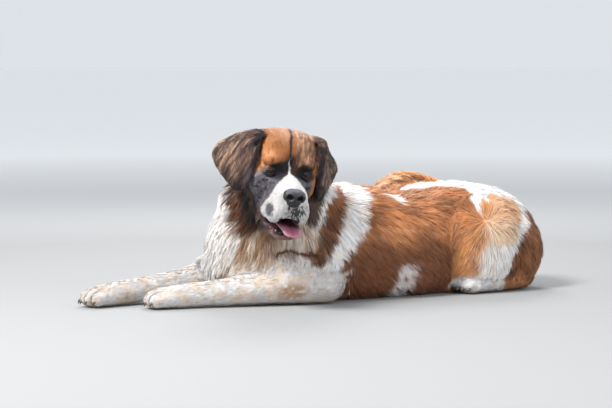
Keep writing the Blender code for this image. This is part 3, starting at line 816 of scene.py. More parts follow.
def within(corners, across, along, soft):
    """1 inside a closed outline, fading to 0 over its edge."""
    nearest_edge = np.full(len(across), 1.0)
    inside = np.zeros(len(across), dtype=bool)
    for (x0, y0), (x1, y1) in zip(corners, corners[1:] + corners[:1]):
        run = (x1 - x0, y1 - y0)
        part = ((across - x0) * run[0] + (along - y0) * run[1]) / (run[0] ** 2 + run[1] ** 2)
        part = np.clip(part, 0.0, 1.0)
        away = np.hypot(across - x0 - part * run[0], along - y0 - part * run[1])
        nearest_edge = np.minimum(nearest_edge, away)
        if run[1]:
            meets = x0 + (along - y0) * run[0] / run[1]
            inside ^= ((y0 > along) != (y1 > along)) & (across < meets)
    return steps(-soft, soft, np.where(inside, nearest_edge, -nearest_edge))


def plain_rows(colour, points):
    """One colour for every point."""
    return np.tile(colour, (len(points), 1))


def body_marks(points):
    """Colour of the trunk and thighs at each point."""
    x, y, z = points.T
    side = np.where(x > MIDDLE_X, 1.0, -1.0)
    off = np.abs(x - MIDDLE_X)
    wobble = (noise(points, 0.030, 1) - 0.5) * 0.026 + (noise(points, 0.010, 2) - 0.5) * 0.012
    ragged = y
    y = y + wobble * np.where(side > 0, 0.6, 1.3)
    zz = z + wobble * 0.5
    colour = plain_rows(WHITE, points)
    colour = mix(colour, CREAM, 0.16 * steps(0.45, 0.80, noise(points, 0.024, 22)))

    saddle = steps(-0.008, 0.010, y - curve(SADDLE_FRONT, z))
    mottle = noise(points * (1.0, 0.30, 0.8), 0.021, 3)
    streak = noise(points * (1.0, 0.22, 0.6), 0.0075, 23)
    red = mix(plain_rows(RED, points), RED_DARK, 0.60 * steps(0.52, 0.85, mottle))
    red = mix(red, ORANGE, 0.55 * steps(0.48, 0.12, mottle))
    red = mix(red, RED_DARK, 0.45 * steps(0.62, 0.90, streak))
    red = mix(red, PALE_ORANGE, 0.30 * steps(0.35, 0.10, streak))
    shoulder = steps(0.13, 0.04, y) * steps(0.30, 0.24, z)
    red = mix(red, RED_DARK, shoulder * (0.35 + 0.35 * steps(0.4, 0.7, noise(points * (1.0, 1.0, 0.2), 0.010, 24))))
    blotch = steps(0.060, 0.015, np.hypot(ragged - 0.225, (z - 0.165) * 1.2)) * steps(0.07, 0.12, off)
    red = mix(red, RED_DARK, 0.65 * blotch)
    bright = steps(0.050, 0.015, np.hypot(ragged - 0.120, (z - 0.175) * 1.1)) * steps(0.07, 0.12, off)
    red = mix(red, ORANGE, 0.45 * bright)
    low = steps(0.21, 0.12, z) * steps(0.07, 0.12, off)
    red = mix(red, RED_DARK, 0.90 * low)
    colour = mix(colour, red, saddle)

    stripe = steps(-0.007, 0.007, y - curve(STRIPE_FRONT, z)) * steps(0.007, -0.007, y - curve(STRIPE_BACK, z))
    stripe *= steps(0.100, 0.120, z) * (side > 0)
    stripe_colour = mix(plain_rows(BROWN, points), RED, 0.6 * steps(0.24, 0.32, z + 0.04 * (mottle - 0.5)))
    stripe_colour = mix(stripe_colour, RED, 0.45 * steps(0.55, 0.85, streak))
    colour = mix(colour, stripe_colour, stripe)

    wedge = within(WEDGE, x + 0.4 * wobble + 0.008, ragged + 0.014, 0.004) * steps(0.24, 0.26, z)
    colour = mix(colour, WHITE, 0.95 * wedge)
    ridge = steps(0.050, 0.025, off) * steps(0.05, 0.08, y) * steps(0.20, 0.14, y)
    colour = mix(colour, RED_DARK, 0.45 * ridge)

    centre = np.array([LEFT_WHORL.x - MIDDLE_X, LEFT_WHORL.y, LEFT_WHORL.z])
    whorl = np.stack([off, ragged, z], axis=1) - centre
    from_whorl = np.linalg.norm(whorl, axis=1)
    turn = np.arctan2(whorl[:, 2], whorl[:, 1])
    rays = np.stack([np.cos(turn) * 0.10, np.sin(turn) * 0.10, from_whorl * 0.12], axis=1)
    ray = noise(rays, 0.011, 25)
    behind = y - curve(PATCH_BACK, z)
    ahead = y - curve(PATCH_FRONT, z)
    patch = steps(-0.008, 0.014, ahead) * steps(0.006, -0.008, behind) * steps(0.070, 0.095, off)
    pale = mix(plain_rows(ORANGE, points), PALE_ORANGE, steps(0.015, 0.065, ahead))
    upper = steps(-0.010, 0.050, whorl[:, 1] + 0.6 * whorl[:, 2])
    pale = mix(pale, ORANGE, 0.45 * upper)
    pale = mix(pale, CREAM, 0.85 * steps(0.235, 0.180, z) * steps(0.02, 0.06, ahead) * steps(0.85, 0.45, ray))
    pale = mix(pale, TAN, 0.40 * steps(0.62, 0.90, ray))
    pale = mix(pale, ORANGE, 0.40 * steps(0.030, 0.008, from_whorl))
    pale = mix(pale, WHITE, 0.90 * steps(0.165, 0.120, z) * steps(0.38, 0.42, y))
    feather = steps(0.215, 0.160, z) * steps(0.085, 0.055, ahead)
    locks = noise(np.stack([ragged + 0.35 * z, z * 0.12, x * 0.3], axis=1), 0.0085, 26)
    fringe = mix(plain_rows(ORANGE, points), BROWN, 0.70 * steps(0.45, 0.80, locks))
    pale = mix(pale, mix(fringe, ORANGE, 0.4 * steps(0.03, 0.0, ahead)), 0.85 * feather)
    colour = mix(colour, pale, patch)
    band = steps(-0.008, 0.006, behind) * steps(0.008, -0.008, y - curve(BAND_BACK, z))
    band *= steps(0.050, 0.075, off)
    colour = mix(colour, WHITE, band)
    # The seat behind the white band: red-brown coat, its darker brown partly painted shade on the rump's rear.
    seat = steps(-0.006, 0.008, y - curve(BAND_BACK, z)) * steps(0.262, 0.240, zz)
    seat_colour_and_shade = mix(plain_rows(RED, points), BROWN, 0.50 + 0.45 * noise(points * (1.0, 1.0, 0.3), 0.012, 5))
    colour = mix(colour, seat_colour_and_shade, seat)

    croup = within(CROUP, x + 0.35 * wobble - 0.010, ragged + 0.35 * wobble + 0.006, 0.005) * steps(0.225, 0.248, z)
    colour = mix(colour, WHITE, croup)
    belly = steps(0.112, 0.085, zz) * steps(0.12, 0.145, y) * steps(0.215, 0.185, y)
    belly *= steps(0.35, 0.60, noise(points, 0.016, 6) + 0.15)
    return mix(colour, WHITE, 0.8 * belly)


def crease_gap(points):
    """Height above the crease between the chest and the left upper arm, and its reach."""
    x, y, z = points.T
    gap = z - curve(CREASE, y)
    reach = steps(0.025, 0.060, x) * steps(-0.278, -0.255, y) * steps(-0.140, -0.152, y)
    return gap, reach


def chest_marks(points, colour):
    """Tan wisps over the white chest, painted shade on its lower front, the dark ruff, and a dark rust line along the
    crease over the left arm that is partly painted shade.
    """
    x, y, z = points.T
    local = to_local(points)
    lx, ly, lz = local.T
    wobble = (noise(points, 0.022, 27) - 0.5) * 0.026 + (noise(points, 0.008, 28) - 0.5) * 0.010
    wisp = noise(points * (1.0, 1.0, 0.25), 0.009, 7) * 0.6 + noise(points * (1.0, 1.0, 0.6), 0.035, 8) * 0.4
    tan = mix(plain_rows(CREAM, points), TAN, steps(0.45, 0.66, wisp))
    tan = mix(tan, BROWN, 0.45 * steps(0.66, 0.82, wisp))
    front = steps(-0.085, -0.035, x) * steps(0.100, 0.060, x) * steps(-0.215, -0.255, y) * steps(0.055, 0.10, z)
    colour = mix(colour, tan, front * steps(0.36, 0.58, wisp) * 0.75)
    throat = steps(-0.290, -0.255, lz) * steps(-0.135, -0.160, lz) * steps(-0.12, -0.06, lx)
    throat *= steps(0.150, 0.115, lx) * steps(0.05, 0.07, ly) * steps(0.20, 0.15, ly)
    colour = mix(colour, tan, 0.75 * throat * steps(0.25, 0.45, wisp))
    # Painted shade: the lower front of the chest made about a fifth darker.
    colour = colour * (1.0 - 0.21 * steps(-0.170, -0.230, y) * steps(0.300, 0.240, z))[:, None]
    gap, reach = crease_gap(points)
    # Dark rust line along the crease over the left arm: partly rust-coloured hair, partly painted shade in the crease.
    line = steps(0.011, 0.003, np.abs(gap - 0.003)) * reach
    colour = mix(colour, mix(plain_rows(RED_DARK, points), BLACK, 0.35), 0.9 * line)

    depth = steps(0.045, 0.065, ly) * steps(0.285, 0.245, ly)
    deep = steps(-0.012, 0.006, ly) * steps(0.285, 0.245, ly)
    shade = noise(points * (1.0, 1.0, 0.4), 0.012, 9)
    warm = mix(plain_rows(BROWN * 0.65, points), RED_DARK, 0.80 * steps(0.45, 0.75, shade))
    colour = mix(colour, warm, within(RUFF, lx + wobble, lz + wobble - 0.016, 0.010) * depth)
    dark = mix(plain_rows(BLACK, points), BROWN, 0.7 * steps(0.45, 0.8, shade))
    colour = mix(colour, dark, within(RUFF_DARK, lx + wobble, lz + wobble - 0.010, 0.012) * deep * 0.95)
    left = within(LEFT_CHEEK_DARK, lx + wobble, lz + wobble, 0.008) * steps(0.02, 0.04, ly) * steps(0.17, 0.13, ly)
    colour = mix(colour, mix(plain_rows(BLACK, points), BROWN, 0.25 + 0.7 * shade), 0.95 * left)
    nape = steps(0.010, 0.040, lz) * steps(0.100, 0.130, ly) * steps(0.215, 0.185, ly)
    return mix(colour, mix(plain_rows(BROWN, points), FOREHEAD, shade), 0.95 * nape)


# The dark line down the forehead: its middle and half width at some heights.
FURROW_MIDDLE = ((0.020, 0.056, 0.091, 0.107), (-0.0040, -0.0055, -0.0070, 0.0000))
FURROW_HALF = ((0.020, 0.050, 0.070, 0.100), (0.0022, 0.0026, 0.0034, 0.0040))

# Half widths of the blaze, up the forehead and then forward along the muzzle.
BLAZE_HALF = ((0.000, 0.012, 0.030, 0.040),
              (0.0028, 0.0022, 0.0014, 0.0000))
BLAZE_MIDDLE = ((0.000, 0.026, 0.053, 0.066),
                (0.0000, -0.0030, -0.0068, -0.0070))
BRIDGE_RIGHT = ((-0.090, -0.075, -0.058, -0.054, -0.047, -0.032, -0.005),
                (0.090, 0.070, 0.042, 0.034, 0.026, 0.014, 0.0015))
BRIDGE_LEFT = ((-0.100, -0.085, -0.070, -0.053, -0.045, -0.020, -0.005),
               (0.090, 0.060, 0.036, 0.021, 0.018, 0.009, 0.0015))
MUZZLE_RIGHT = ((-0.125, -0.102, -0.090, -0.077, -0.064, -0.052, -0.036, -0.020),
                (-0.020, -0.016, -0.030, -0.034, -0.033, -0.044, -0.057, -0.056))
MUZZLE_LEFT = ((-0.130, -0.105, -0.083, -0.060, -0.038, -0.020),
               (-0.050, -0.060, -0.070, -0.082, -0.086, -0.064))
MASK_TOP = ((-0.100, -0.086, -0.076, -0.064, -0.051, -0.035, -0.017, -0.004, 0.002, 0.012, 0.021, 0.035,
             0.053, 0.068, 0.082),
            (-0.022, -0.014, -0.005, 0.012, 0.022, 0.029, 0.035, 0.042, 0.046, 0.044, 0.020, 0.030,
             0.033, 0.024, -0.002))


def face_marks(points, normals):
    """Colour of the head at each point, in its own axes."""
    local = to_local(points)
    x, y, z = local.T
    wobble = (noise(points, 0.009, 11) - 0.5) * 0.0065 + (noise(points, 0.0035, 12) - 0.5) * 0.004
    line_x = x + 0.3 * wobble
    x = x + wobble
    z = z + wobble
    grain = noise(points, 0.0065, 13)
    strand = noise(local * (1.0, 0.5, 0.22), 0.0045, 29)
    colour = mix(plain_rows(FOREHEAD, points), BROWN, 0.50 * steps(0.50, 0.85, strand))
    bright = steps(0.060, 0.015, np.hypot(x + 0.082, (z - 0.026) * 0.8))
    colour = mix(colour, srgb(214, 148, 96), 0.80 * bright * steps(0.85, 0.50, strand))
    colour = mix(colour, srgb(198, 160, 130), 0.35 * steps(0.022, 0.006, np.hypot(x + 0.022, z - 0.098)))
    left_brow = steps(0.002, 0.016, x)
    brow_colour = mix(plain_rows(srgb(156, 116, 90), points), srgb(200, 160, 130), steps(0.50, 0.20, strand))
    brow_colour = mix(brow_colour, BROWN, 0.60 * steps(0.55, 0.80, strand))
    colour = mix(colour, brow_colour, 0.9 * left_brow)
    temple = steps(0.060, 0.078, x) * steps(-0.010, 0.010, z)
    colour = mix(colour, mix(plain_rows(EAR_DARK, points), BROWN, grain), 0.85 * temple)
    right_temple = steps(-0.080, -0.090, x) * steps(0.020, 0.040, z)
    colour = mix(colour, EAR_DARK, 0.75 * right_temple)
    furrow = steps(0.0022, -0.0018, np.abs(line_x - curve(FURROW_MIDDLE, z)) - curve(FURROW_HALF, z))
    furrow *= steps(0.033, 0.041, z)
    beside = steps(0.014, 0.004, np.abs(x - curve(FURROW_MIDDLE, z))) * steps(0.088, 0.040, z) * (y < 0.06)
    colour = mix(colour, BROWN * 0.6, 0.60 * beside)
    colour = mix(colour, BLACK, 0.92 * furrow * steps(0.13, 0.09, y))

    mask = steps(0.004, -0.004, z - curve(MASK_TOP, x)) * steps(0.075, 0.060, y)
    light = steps(-0.008, -0.024, z) * steps(0.12, 0.62, grain)
    grey = mix(plain_rows(BLACK, points), GREY, 0.85 * light)
    grey = mix(grey, srgb(150, 146, 152), 0.45 * light * steps(0.55, 0.80, strand))
    rim = steps(0.010, 0.004, np.abs(z - curve(MASK_TOP, x) + 0.006)) * steps(-0.060, -0.074, x)
    grey = mix(grey, srgb(168, 158, 152), 0.55 * rim)
    brown_brow = steps(0.006, 0.0, np.abs(z - curve(MASK_TOP, x) + 0.004)) * (0.5 + 0.5 * steps(0.3, 0.6, grain))
    grey = mix(grey, BROWN, 0.55 * brown_brow * (1.0 - rim))
    colour = mix(colour, grey, mask)
    between = steps(0.004, 0.008, x) * steps(0.028, 0.020, x) * steps(-0.008, 0.004, z) * steps(0.070, 0.050, z)
    colour = mix(colour, BROWN * 0.7, 0.75 * between)
    stripe = steps(0.070, 0.077, x) * steps(0.040, 0.026, z) * steps(0.110, 0.085, y)
    colour = mix(colour, srgb(174, 112, 50), 0.95 * stripe * steps(0.80, 0.50, strand))
    cheek = steps(0.055, 0.080, y) * steps(0.020, -0.005, z)
    colour = mix(colour, mix(plain_rows(BLACK, points), BROWN, 0.7 * grain), 0.9 * cheek * (1.0 - stripe))

    side = x > 0
    blaze = steps(0.0009, -0.0009, np.abs(line_x - curve(BLAZE_MIDDLE, z)) - curve(BLAZE_HALF, z))
    blaze *= (z > -0.002) * steps(0.042, 0.035, z) * (y < 0.06)
    bridge = np.where(side, curve(BRIDGE_LEFT, y), curve(BRIDGE_RIGHT, y))
    top = steps(0.0025, -0.0025, np.abs(x) - bridge) * (y < -0.004) * (z > -0.032) * steps(0.014, 0.006, z)
    edge = np.where(side, curve(MUZZLE_LEFT, z), curve(MUZZLE_RIGHT, z))
    flank = steps(0.004, -0.004, y - edge) * steps(-0.018, -0.026, z)
    white = np.maximum(np.maximum(blaze, top), flank)
    shade = mix(plain_rows(WHITE * 0.77, points), GREY, 0.20 * steps(0.55, 0.85, grain))
    colour = mix(colour, shade, white)
    spot = within(SPOT, y + 1.5 * wobble, z, 0.004) * steps(-0.034, -0.042, x)
    colour = mix(colour, GREY * 0.72, 0.94 * spot * steps(0.05, 0.30, grain))
    speck = noise(points, 0.0034, 14)
    front = steps(-0.070, -0.092, y) * steps(-0.056, -0.068, z)
    dense = steps(0.050, 0.008, np.hypot(x - 0.014, (z + 0.086) * 1.15))
    colour = mix(colour, GREY, 0.35 * front * dense)
    colour = mix(colour, BLACK, 0.90 * front * steps(-0.04, 0.04, 0.58 * dense + 0.90 * speck - 0.90))
    low_flew = steps(-0.112, -0.124, z) * steps(0.010, 0.024, x) * steps(-0.02, -0.04, y)
    colour = mix(colour, TAN, 0.55 * low_flew)

    jaw = steps(-0.136, -0.142, z)
    jaw_colour = mix(plain_rows(BLACK, points), srgb(138, 108, 98), steps(-0.158, -0.168, z))
    colour = mix(colour, jaw_colour, jaw)
    corner = steps(-0.112, -0.124, z) * steps(-0.022, -0.008, y) * steps(-0.150, -0.140, z) * (x < -0.030)
    return mix(colour, mix(plain_rows(LIP, points), GUM, steps(-0.138, -0.128, z)), 0.8 * corner)


def ear_marks(points):
    """Dark ears, with lighter streaks on the upper part of the right one and painted shade along its fold."""
    x, y, z = to_local(points).T
    fan = np.stack([x - 0.55 * z, y * 0.6, (z + 0.55 * x) * 0.12], axis=1)
    streak = noise(fan, 0.0042, 15) * 0.65 + noise(fan, 0.011, 33) * 0.35
    patchy = noise(points, 0.016, 30)
    base = mix(plain_rows(EAR_DARK, points), EAR_BROWN, 0.85 * steps(0.42, 0.72, streak) * steps(0.1, 0.5, patchy))
    light = (x < 0) * steps(-0.060, -0.020, z + 0.25 * (x + 0.12)) * steps(-0.096, -0.112, x)
    bright = mix(plain_rows(EAR_BROWN * 0.9, points), srgb(186, 154, 128), 0.9 * steps(0.48, 0.74, streak))
    bright = mix(bright, EAR_DARK, 0.85 * steps(0.46, 0.28, streak))
    base = mix(base, bright, light)
    tip = (x < 0) * steps(0.022, 0.006, np.abs(x + 0.098)) * steps(0.010, -0.020, z)
    base = mix(base, GREY * 0.75, 0.8 * tip)
    # Painted shade: a dark line along the fold of the right ear.
    fold = steps(0.012, 0.004, np.abs((z - 0.052) - 0.55 * (x + 0.115))) * steps(-0.148, -0.130, x) * (x < 0)
    base = mix(base, BLACK, 0.75 * fold)
    outer = (x > 0) * steps(0.100, 0.114, x) * steps(0.090, 0.060, z)
    base = mix(base, srgb(158, 134, 116), 0.75 * outer * steps(0.30, 0.60, streak))
    crest = (x > 0) * steps(0.070, 0.085, z)
    base = mix(base, srgb(140, 104, 84), 0.6 * crest * steps(0.35, 0.65, streak))
    return mix(base, BLACK, 0.55 * steps(-0.040, -0.066, z))


def marks(points, normals, part):
    """Colour of skin and coat at each point; part is the index of the nearest node."""
    names = np.array(FLESH)[part]
    body = chest_marks(points, body_marks(points))
    tail = np.char.startswith(names, "tail")
    fluff = noise(points * (0.6, 0.35, 1.0), 0.012, 16)
    tail_colour = mix(plain_rows(srgb(255, 192, 122), points), ORANGE, 0.20 * steps(0.50, 0.80, fluff))
    tail_colour = mix(tail_colour, PALE_ORANGE, 0.55 * steps(0.42, 0.15, fluff))
    tail_colour = mix(tail_colour, PALE_ORANGE, 0.85 * steps(0.40, 0.30, points[:, 1]))
    tail_colour = mix(tail_colour, WHITE, steps(0.50, 0.57, points[:, 1]))
    body = mix(body, tail_colour, tail)
    legs = np.char.startswith(names, "fore")
    patchy = noise(points, 0.020, 17)
    leg_colour = mix(plain_rows(WHITE * 0.79, points), CREAM, 0.55 * steps(0.40, 0.75, patchy))
    leg_colour = mix(leg_colour, TAN, 0.28 * steps(0.70, 0.88, noise(points, 0.010, 31)))
    stain = steps(0.050, 0.015, np.linalg.norm((points - (0.095, -0.225, 0.042)) * (0.5, 0.8, 1.3), axis=1))
    leg_colour = mix(leg_colour, TAN, 0.8 * stain * steps(0.25, 0.55, noise(points, 0.009, 32)))
    gap, reach = crease_gap(points)
    # The same crease line on the upper arm's side: rust colour and painted shade in the crease.
    leg_colour = mix(leg_colour, RED_DARK * 0.6, 0.9 * steps(0.011, 0.003, np.abs(gap - 0.003)) * reach)
    # Painted shade: brown lines in the grooves between the toes.
    parted = np.linalg.norm(part_toes(points, normals), axis=1) / TOE_GROOVE
    leg_colour = mix(leg_colour, BROWN, 0.70 * np.clip(parted, 0.0, 1.0))
    body = mix(body, leg_colour, legs)
    feet = np.char.startswith(names, "hind")
    feet_colour = mix(plain_rows(WHITE, points), GREY, 0.10 + 0.40 * noise(points, 0.014, 18))
    feet_colour = mix(feet_colour, mix(plain_rows(RED, points), BROWN, 0.5), steps(0.500, 0.525, points[:, 1]))
    body = mix(body, feet_colour, feet)
    ears = np.char.startswith(names, "ear")
    head = (names == "head") | (names == "lower_jaw")
    colour = mix(body, face_marks(points, normals), head)
    return mix(colour, ear_marks(points), ears)


# Lie of the coat.


def lie_of(points, normals, part):
    """Direction in which the hair lies at each point, along the skin."""
    names = np.array(FLESH)[part]
    x, y, z = points.T
    rows = len(points)
    side = np.where(x > MIDDLE_X, 1.0, -1.0)
    off = x - MIDDLE_X
    flow = np.zeros((rows, 3))

    down = np.array([0.0, 0.0, -1.0])
    steep = steps(0.9, 0.3, normals[:, 2])
    trunk = np.stack([0.25 * side * (1 - steep), 1.0 - 0.35 * steep, -0.65 * steep], axis=1)
    flow[:] = trunk

    local = to_local(points)
    away = unit(points - np.array(HEAD @ Vector((0, 0.02, 0.02))))
    neck = away * 0.9 + down * 0.9
    use = names == "neck"
    flow[use] = neck[use]
    chest = np.stack([0.15 * side, 0.25 + 0.55 * steps(-0.20, 0.0, y), -1.0 + 0.0 * y], axis=1)
    use = names == "chest"
    flow[use] = chest[use]

    for leg, elbow, toe in (("left", LEFT_ELBOW, LEFT_TOE), ("right", RIGHT_ELBOW, RIGHT_TOE)):
        along = np.array((toe - elbow).normalized())
        use = (names == "foreleg_" + leg) | (names == "forepaw_" + leg)
        flow[use] = along + 0.25 * down
        use = (names == "foreleg_" + leg) & (z > 0.085)
        flow[use] = along * 0.45 + down * 0.8
    use = np.char.startswith(names, "hind")
    flow[use] = (0.0, -1.0, -0.2)

    for which, mirror in (("left", 1.0), ("right", -1.0)):
        whorl = np.array([MIDDLE_X + mirror * (LEFT_WHORL.x - MIDDLE_X), LEFT_WHORL.y, LEFT_WHORL.z])
        out = points - whorl
        near = np.linalg.norm(out, axis=1)
        radial = unit(out) + down * steps(0.05, 0.16, near)[:, None] * 0.7
        use = (side == mirror) & (names == "thigh_" + which)
        flow[use] = radial[use]
    use = names == "rump"
    seat = steps(0.52, 0.64, y)
    rump = np.stack([0.2 * side, 1.0 - 0.8 * seat, -0.2 - 1.0 * seat], axis=1)
    flow[use] = rump[use]

    use = np.char.startswith(names, "tail")
    centres = np.array([Vector(station[0]) + TO_BOX_MIDDLE for station in TAIL_STATIONS])
    towards = np.gradient(centres, axis=0)
    rows_used = np.where(use)[0]
    if len(rows_used):
        gaps = np.linalg.norm(points[rows_used][:, None, :] - centres[None], axis=2)
        pick = np.argmin(gaps, axis=1)
        flow[rows_used] = unit(towards[pick]) + np.array([0.0, 0.0, 0.55])

    lx, ly, lz = local.T
    sign = np.where(lx > 0, 1.0, -1.0)
    face = np.stack([0.30 * sign * steps(0.0, 0.02, np.abs(lx)), 0.9 + 0.0 * ly, -0.35 + 0.0 * lz], axis=1)
    crown = np.stack([0.30 * sign * steps(0.0, 0.03, np.abs(lx)), 0.55 + 0.0 * ly, 1.0 + 0.0 * lz], axis=1)
    face = mix(face, crown, steps(0.000, 0.025, lz))
    flews = np.stack([0.25 * sign, 0.40 + 0.0 * ly, -0.9 + 0.0 * lz], axis=1)
    face = mix(face, flews, steps(-0.050, -0.085, lz) * steps(0.01, -0.03, ly))
    cheek = np.stack([0.2 * sign, 0.85 + 0.0 * ly, -0.8 + 0.0 * lz], axis=1)
    face = mix(face, cheek, steps(0.02, 0.05, ly) * steps(0.03, 0.0, lz))
    use = (names == "head") | (names == "lower_jaw")
    flow[use] = (face @ HEAD_TURN.T)[use]
    ear = np.stack([sign * steps(0.05, 0.09, lz) * 0.9 + 0.10 * sign, 0.15 + 0.0 * ly, -1.0 + 0.5 * steps(0.06, 0.09, lz)], axis=1)
    use = np.char.startswith(names, "ear")
    flow[use] = (ear @ HEAD_TURN.T)[use]

    flow -= normals * np.sum(flow * normals, axis=1)[:, None]
    return unit(flow)


def triangles_of(thing):
    """Vertex numbers of the triangles as rows."""
    thing.data.calc_loop_triangles()
    flat = np.empty(len(thing.data.loop_triangles) * 3, dtype=np.int32)
    thing.data.loop_triangles.foreach_get("vertices", flat)
    return flat.reshape(-1, 3)


def paint(thing, colours):
    """Store a colour per vertex under the name that the materials read."""
    layer = thing.data.color_attributes.new("Coat", "FLOAT_COLOR", "POINT")
    rgba = np.ones((len(colours), 4), dtype=np.float32)
    rgba[:, :3] = colours
    layer.data.foreach_set("color", rgba.ravel())


def mouth_and_eyes(points, normals):
    """1 where the skin is bare: lid rims, lips, gums and the inside of the mouth."""
    local = to_local(points)
    turned = normals @ HEAD_TURN
    bare = np.zeros(len(points))
    for side in (-1, 1):
        gap, across, up = fissure(local, side)
        near = (np.abs(local[:, 1] - 0.0) < 0.022) & (np.abs(across) < 0.016)
        bare = np.maximum(bare, near * steps(1.55, 1.25, gap))
    mouth = steps(-0.102, -0.112, local[:, 2]) * steps(-0.80, -0.93, turned[:, 2]) * steps(0.02, 0.0, local[:, 1])
    mouth = mouth * (local[:, 2] > -0.140)
    inward = -turned[:, 0] * np.sign(local[:, 0])
    inside = steps(0.2, 0.5, inward) * steps(-0.100, -0.108, local[:, 2]) * steps(0.03, 0.01, local[:, 1])
    inside *= steps(-0.142, -0.138, local[:, 2]) * (np.abs(local[:, 0]) < 0.066)
    jaw_top = steps(0.2, 0.6, turned[:, 2]) * (local[:, 2] < -0.125) * (local[:, 1] < 0.03) * (np.abs(local[:, 0]) < 0.055)
    bare = np.maximum(bare, np.maximum(np.maximum(mouth, inside), jaw_top))
    return bare * (np.abs(local[:, 0]) < 0.09) * (local[:, 1] < 0.05)


skin = make_skin()
skin_points = points_of(skin)
skin_normals = normals_of(skin)
skin_edges = edges_of(skin)
skin_part = nearest.of(skin_points)
skin_triangles = triangles_of(skin)
bare = mouth_and_eyes(skin_points, skin_normals)
soft_normals = unit(spread(skin_normals, skin_edges, 3))
lie = unit(spread(lie_of(skin_points, soft_normals, skin_part), skin_edges, 8))
table = np.array([COAT[name] for name in FLESH])
coat_shape = spread(table[skin_part], skin_edges, 6)
parted = np.clip(np.linalg.norm(part_toes(skin_points, skin_normals), axis=1) / TOE_GROOVE, 0.0, 1.0)
coat_shape[:, :2] *= (1.0 - 0.5 * parted)[:, None]
crease_height, crease_reach = crease_gap(skin_points)
near_crease = crease_reach * steps(0.060, 0.030, crease_height) * steps(-0.130, -0.080, crease_height)
coat_shape[:, :2] *= (1.0 - 0.55 * near_crease)[:, None]

skin_colour = marks(skin_points, skin_normals, skin_part)
head_points = to_local(skin_points)
inner = steps(-0.075, -0.045, head_points[:, 1]) * steps(-0.060, -0.090, head_points[:, 2])
lips = mix(plain_rows(LIP, skin_points), GUM, inner * steps(0.35, 0.70, noise(skin_points, 0.018, 20)) * 0.55)
haw = steps(-0.0010, -0.0040, head_points[:, 2] + 0.20 * (np.abs(head_points[:, 0]) - EYE_SPACING / 2.0))
haw *= steps(-0.0050, -0.0080, head_points[:, 1]) * steps(-0.016, -0.010, head_points[:, 2])
lips = mix(lips, srgb(88, 56, 56), 0.4 * haw * steps(-0.05, -0.03, head_points[:, 2]))
skin_colour = mix(skin_colour, lips, bare)
paint(skin, skin_colour)


def node_of(tree, kind, **values):
    """A shader node with some of its sockets set."""
    node = tree.nodes.new(kind)
    for name, value in values.items():
        node.inputs[name.replace("_", " ")].default_value = value
    return node


def coat_material(name, roughness, sheen, grain):
    """Painted colour with a fine change of tone and a little bump."""
    material = bpy.data.materials.new(name)
    material.use_nodes = True
    tree = material.node_tree
    shader = tree.nodes["Principled BSDF"]
    shader.inputs["Roughness"].default_value = roughness
    shader.inputs["Specular IOR Level"].default_value = 0.26
    shader.inputs["Sheen Weight"].default_value = sheen
    shader.inputs["Sheen Roughness"].default_value = 0.5
    colour = tree.nodes.new("ShaderNodeVertexColor")
    colour.layer_name = "Coat"
    place = tree.nodes.new("ShaderNodeTexCoord")
    speckle = node_of(tree, "ShaderNodeTexNoise", Scale=1.0 / grain, Detail=3.0, Roughness=0.6)
    tree.links.new(place.outputs["Object"], speckle.inputs["Vector"])
    tone = node_of(tree, "ShaderNodeMapRange", To_Min=0.87, To_Max=1.13)
    tree.links.new(speckle.outputs["Fac"], tone.inputs["Value"])
    both = tree.nodes.new("ShaderNodeMix")
    both.data_type = "RGBA"
    both.blend_type = "MULTIPLY"
    both.inputs["Factor"].default_value = 1.0
    tree.links.new(colour.outputs["Color"], both.inputs["A"])
    tree.links.new(tone.outputs["Result"], both.inputs["B"])
    tree.links.new(both.outputs["Result"], shader.inputs["Base Color"])
    bump = node_of(tree, "ShaderNodeBump", Strength=0.35, Distance=grain * 0.3)
    tree.links.new(speckle.outputs["Fac"], bump.inputs["Height"])
    tree.links.new(bump.outputs["Normal"], shader.inputs["Normal"])
    return material


skin_material = coat_material("short_coat", 0.62, 0.10, 0.0018)
hair_material = coat_material("long_coat", 0.58, 0.10, 0.0030)
skin.data.materials.clear()
skin.data.materials.append(skin_material)
work_on(skin)
bpy.ops.object.shade_smooth()


# Tufts.


def root_map(faces, points):
    """Where each corner of some skin triangles lies on an unwrap of their own shape."""
    used, corner = np.unique(faces.ravel(), return_inverse=True)
    mesh = bpy.data.meshes.new("unwrap")
    mesh.from_pydata(points[used].tolist(), [], corner.reshape(-1, 3).tolist())
    sheet = bpy.data.objects.new("unwrap", mesh)
    bpy.context.scene.collection.objects.link(sheet)
    mesh.uv_layers.new(name="OFBake")
    work_on(sheet)
    bpy.ops.object.mode_set(mode="EDIT")
    bpy.ops.mesh.select_all(action="SELECT")
    bpy.ops.uv.smart_project(angle_limit=math.radians(70.0), island_margin=0.004)
    bpy.ops.object.mode_set(mode="OBJECT")
    flat = np.empty(len(mesh.loops) * 2)
    mesh.uv_layers["OFBake"].data.foreach_get("uv", flat)
    place = flat.reshape(-1, 3, 2)
    remove(sheet)
    low = place.min(axis=(0, 1))
    high = place.max(axis=(0, 1))
    return (place - low) / (high - low) * (1.0 - 2.0 * PATCH) + PATCH


tree = BVHTree.FromPolygons(skin_points.tolist(), skin_triangles.tolist())
face_lie = unit(lie[skin_triangles].sum(axis=1))
face_normal = np.cross(
    skin_points[skin_triangles[:, 1]] - skin_points[skin_triangles[:, 0]],
    skin_points[skin_triangles[:, 2]] - skin_points[skin_triangles[:, 0]],
)
face_area = np.linalg.norm(face_normal, axis=1) / 2.0
soft_face_normal = unit(soft_normals[skin_triangles].sum(axis=1))
face_shape = coat_shape[skin_triangles].mean(axis=1)
face_bare = bare[skin_triangles].max(axis=1)
face_middle = skin_points[skin_triangles].mean(axis=1)
face_part = skin_part[skin_triangles[:, 0]]
middle_local = to_local(face_middle)
face_under_nose = (middle_local[:, 1] < -0.098) & (np.abs(middle_local[:, 0]) < 0.024)
face_under_nose &= (middle_local[:, 2] > -0.066) & (middle_local[:, 2] < -0.026)


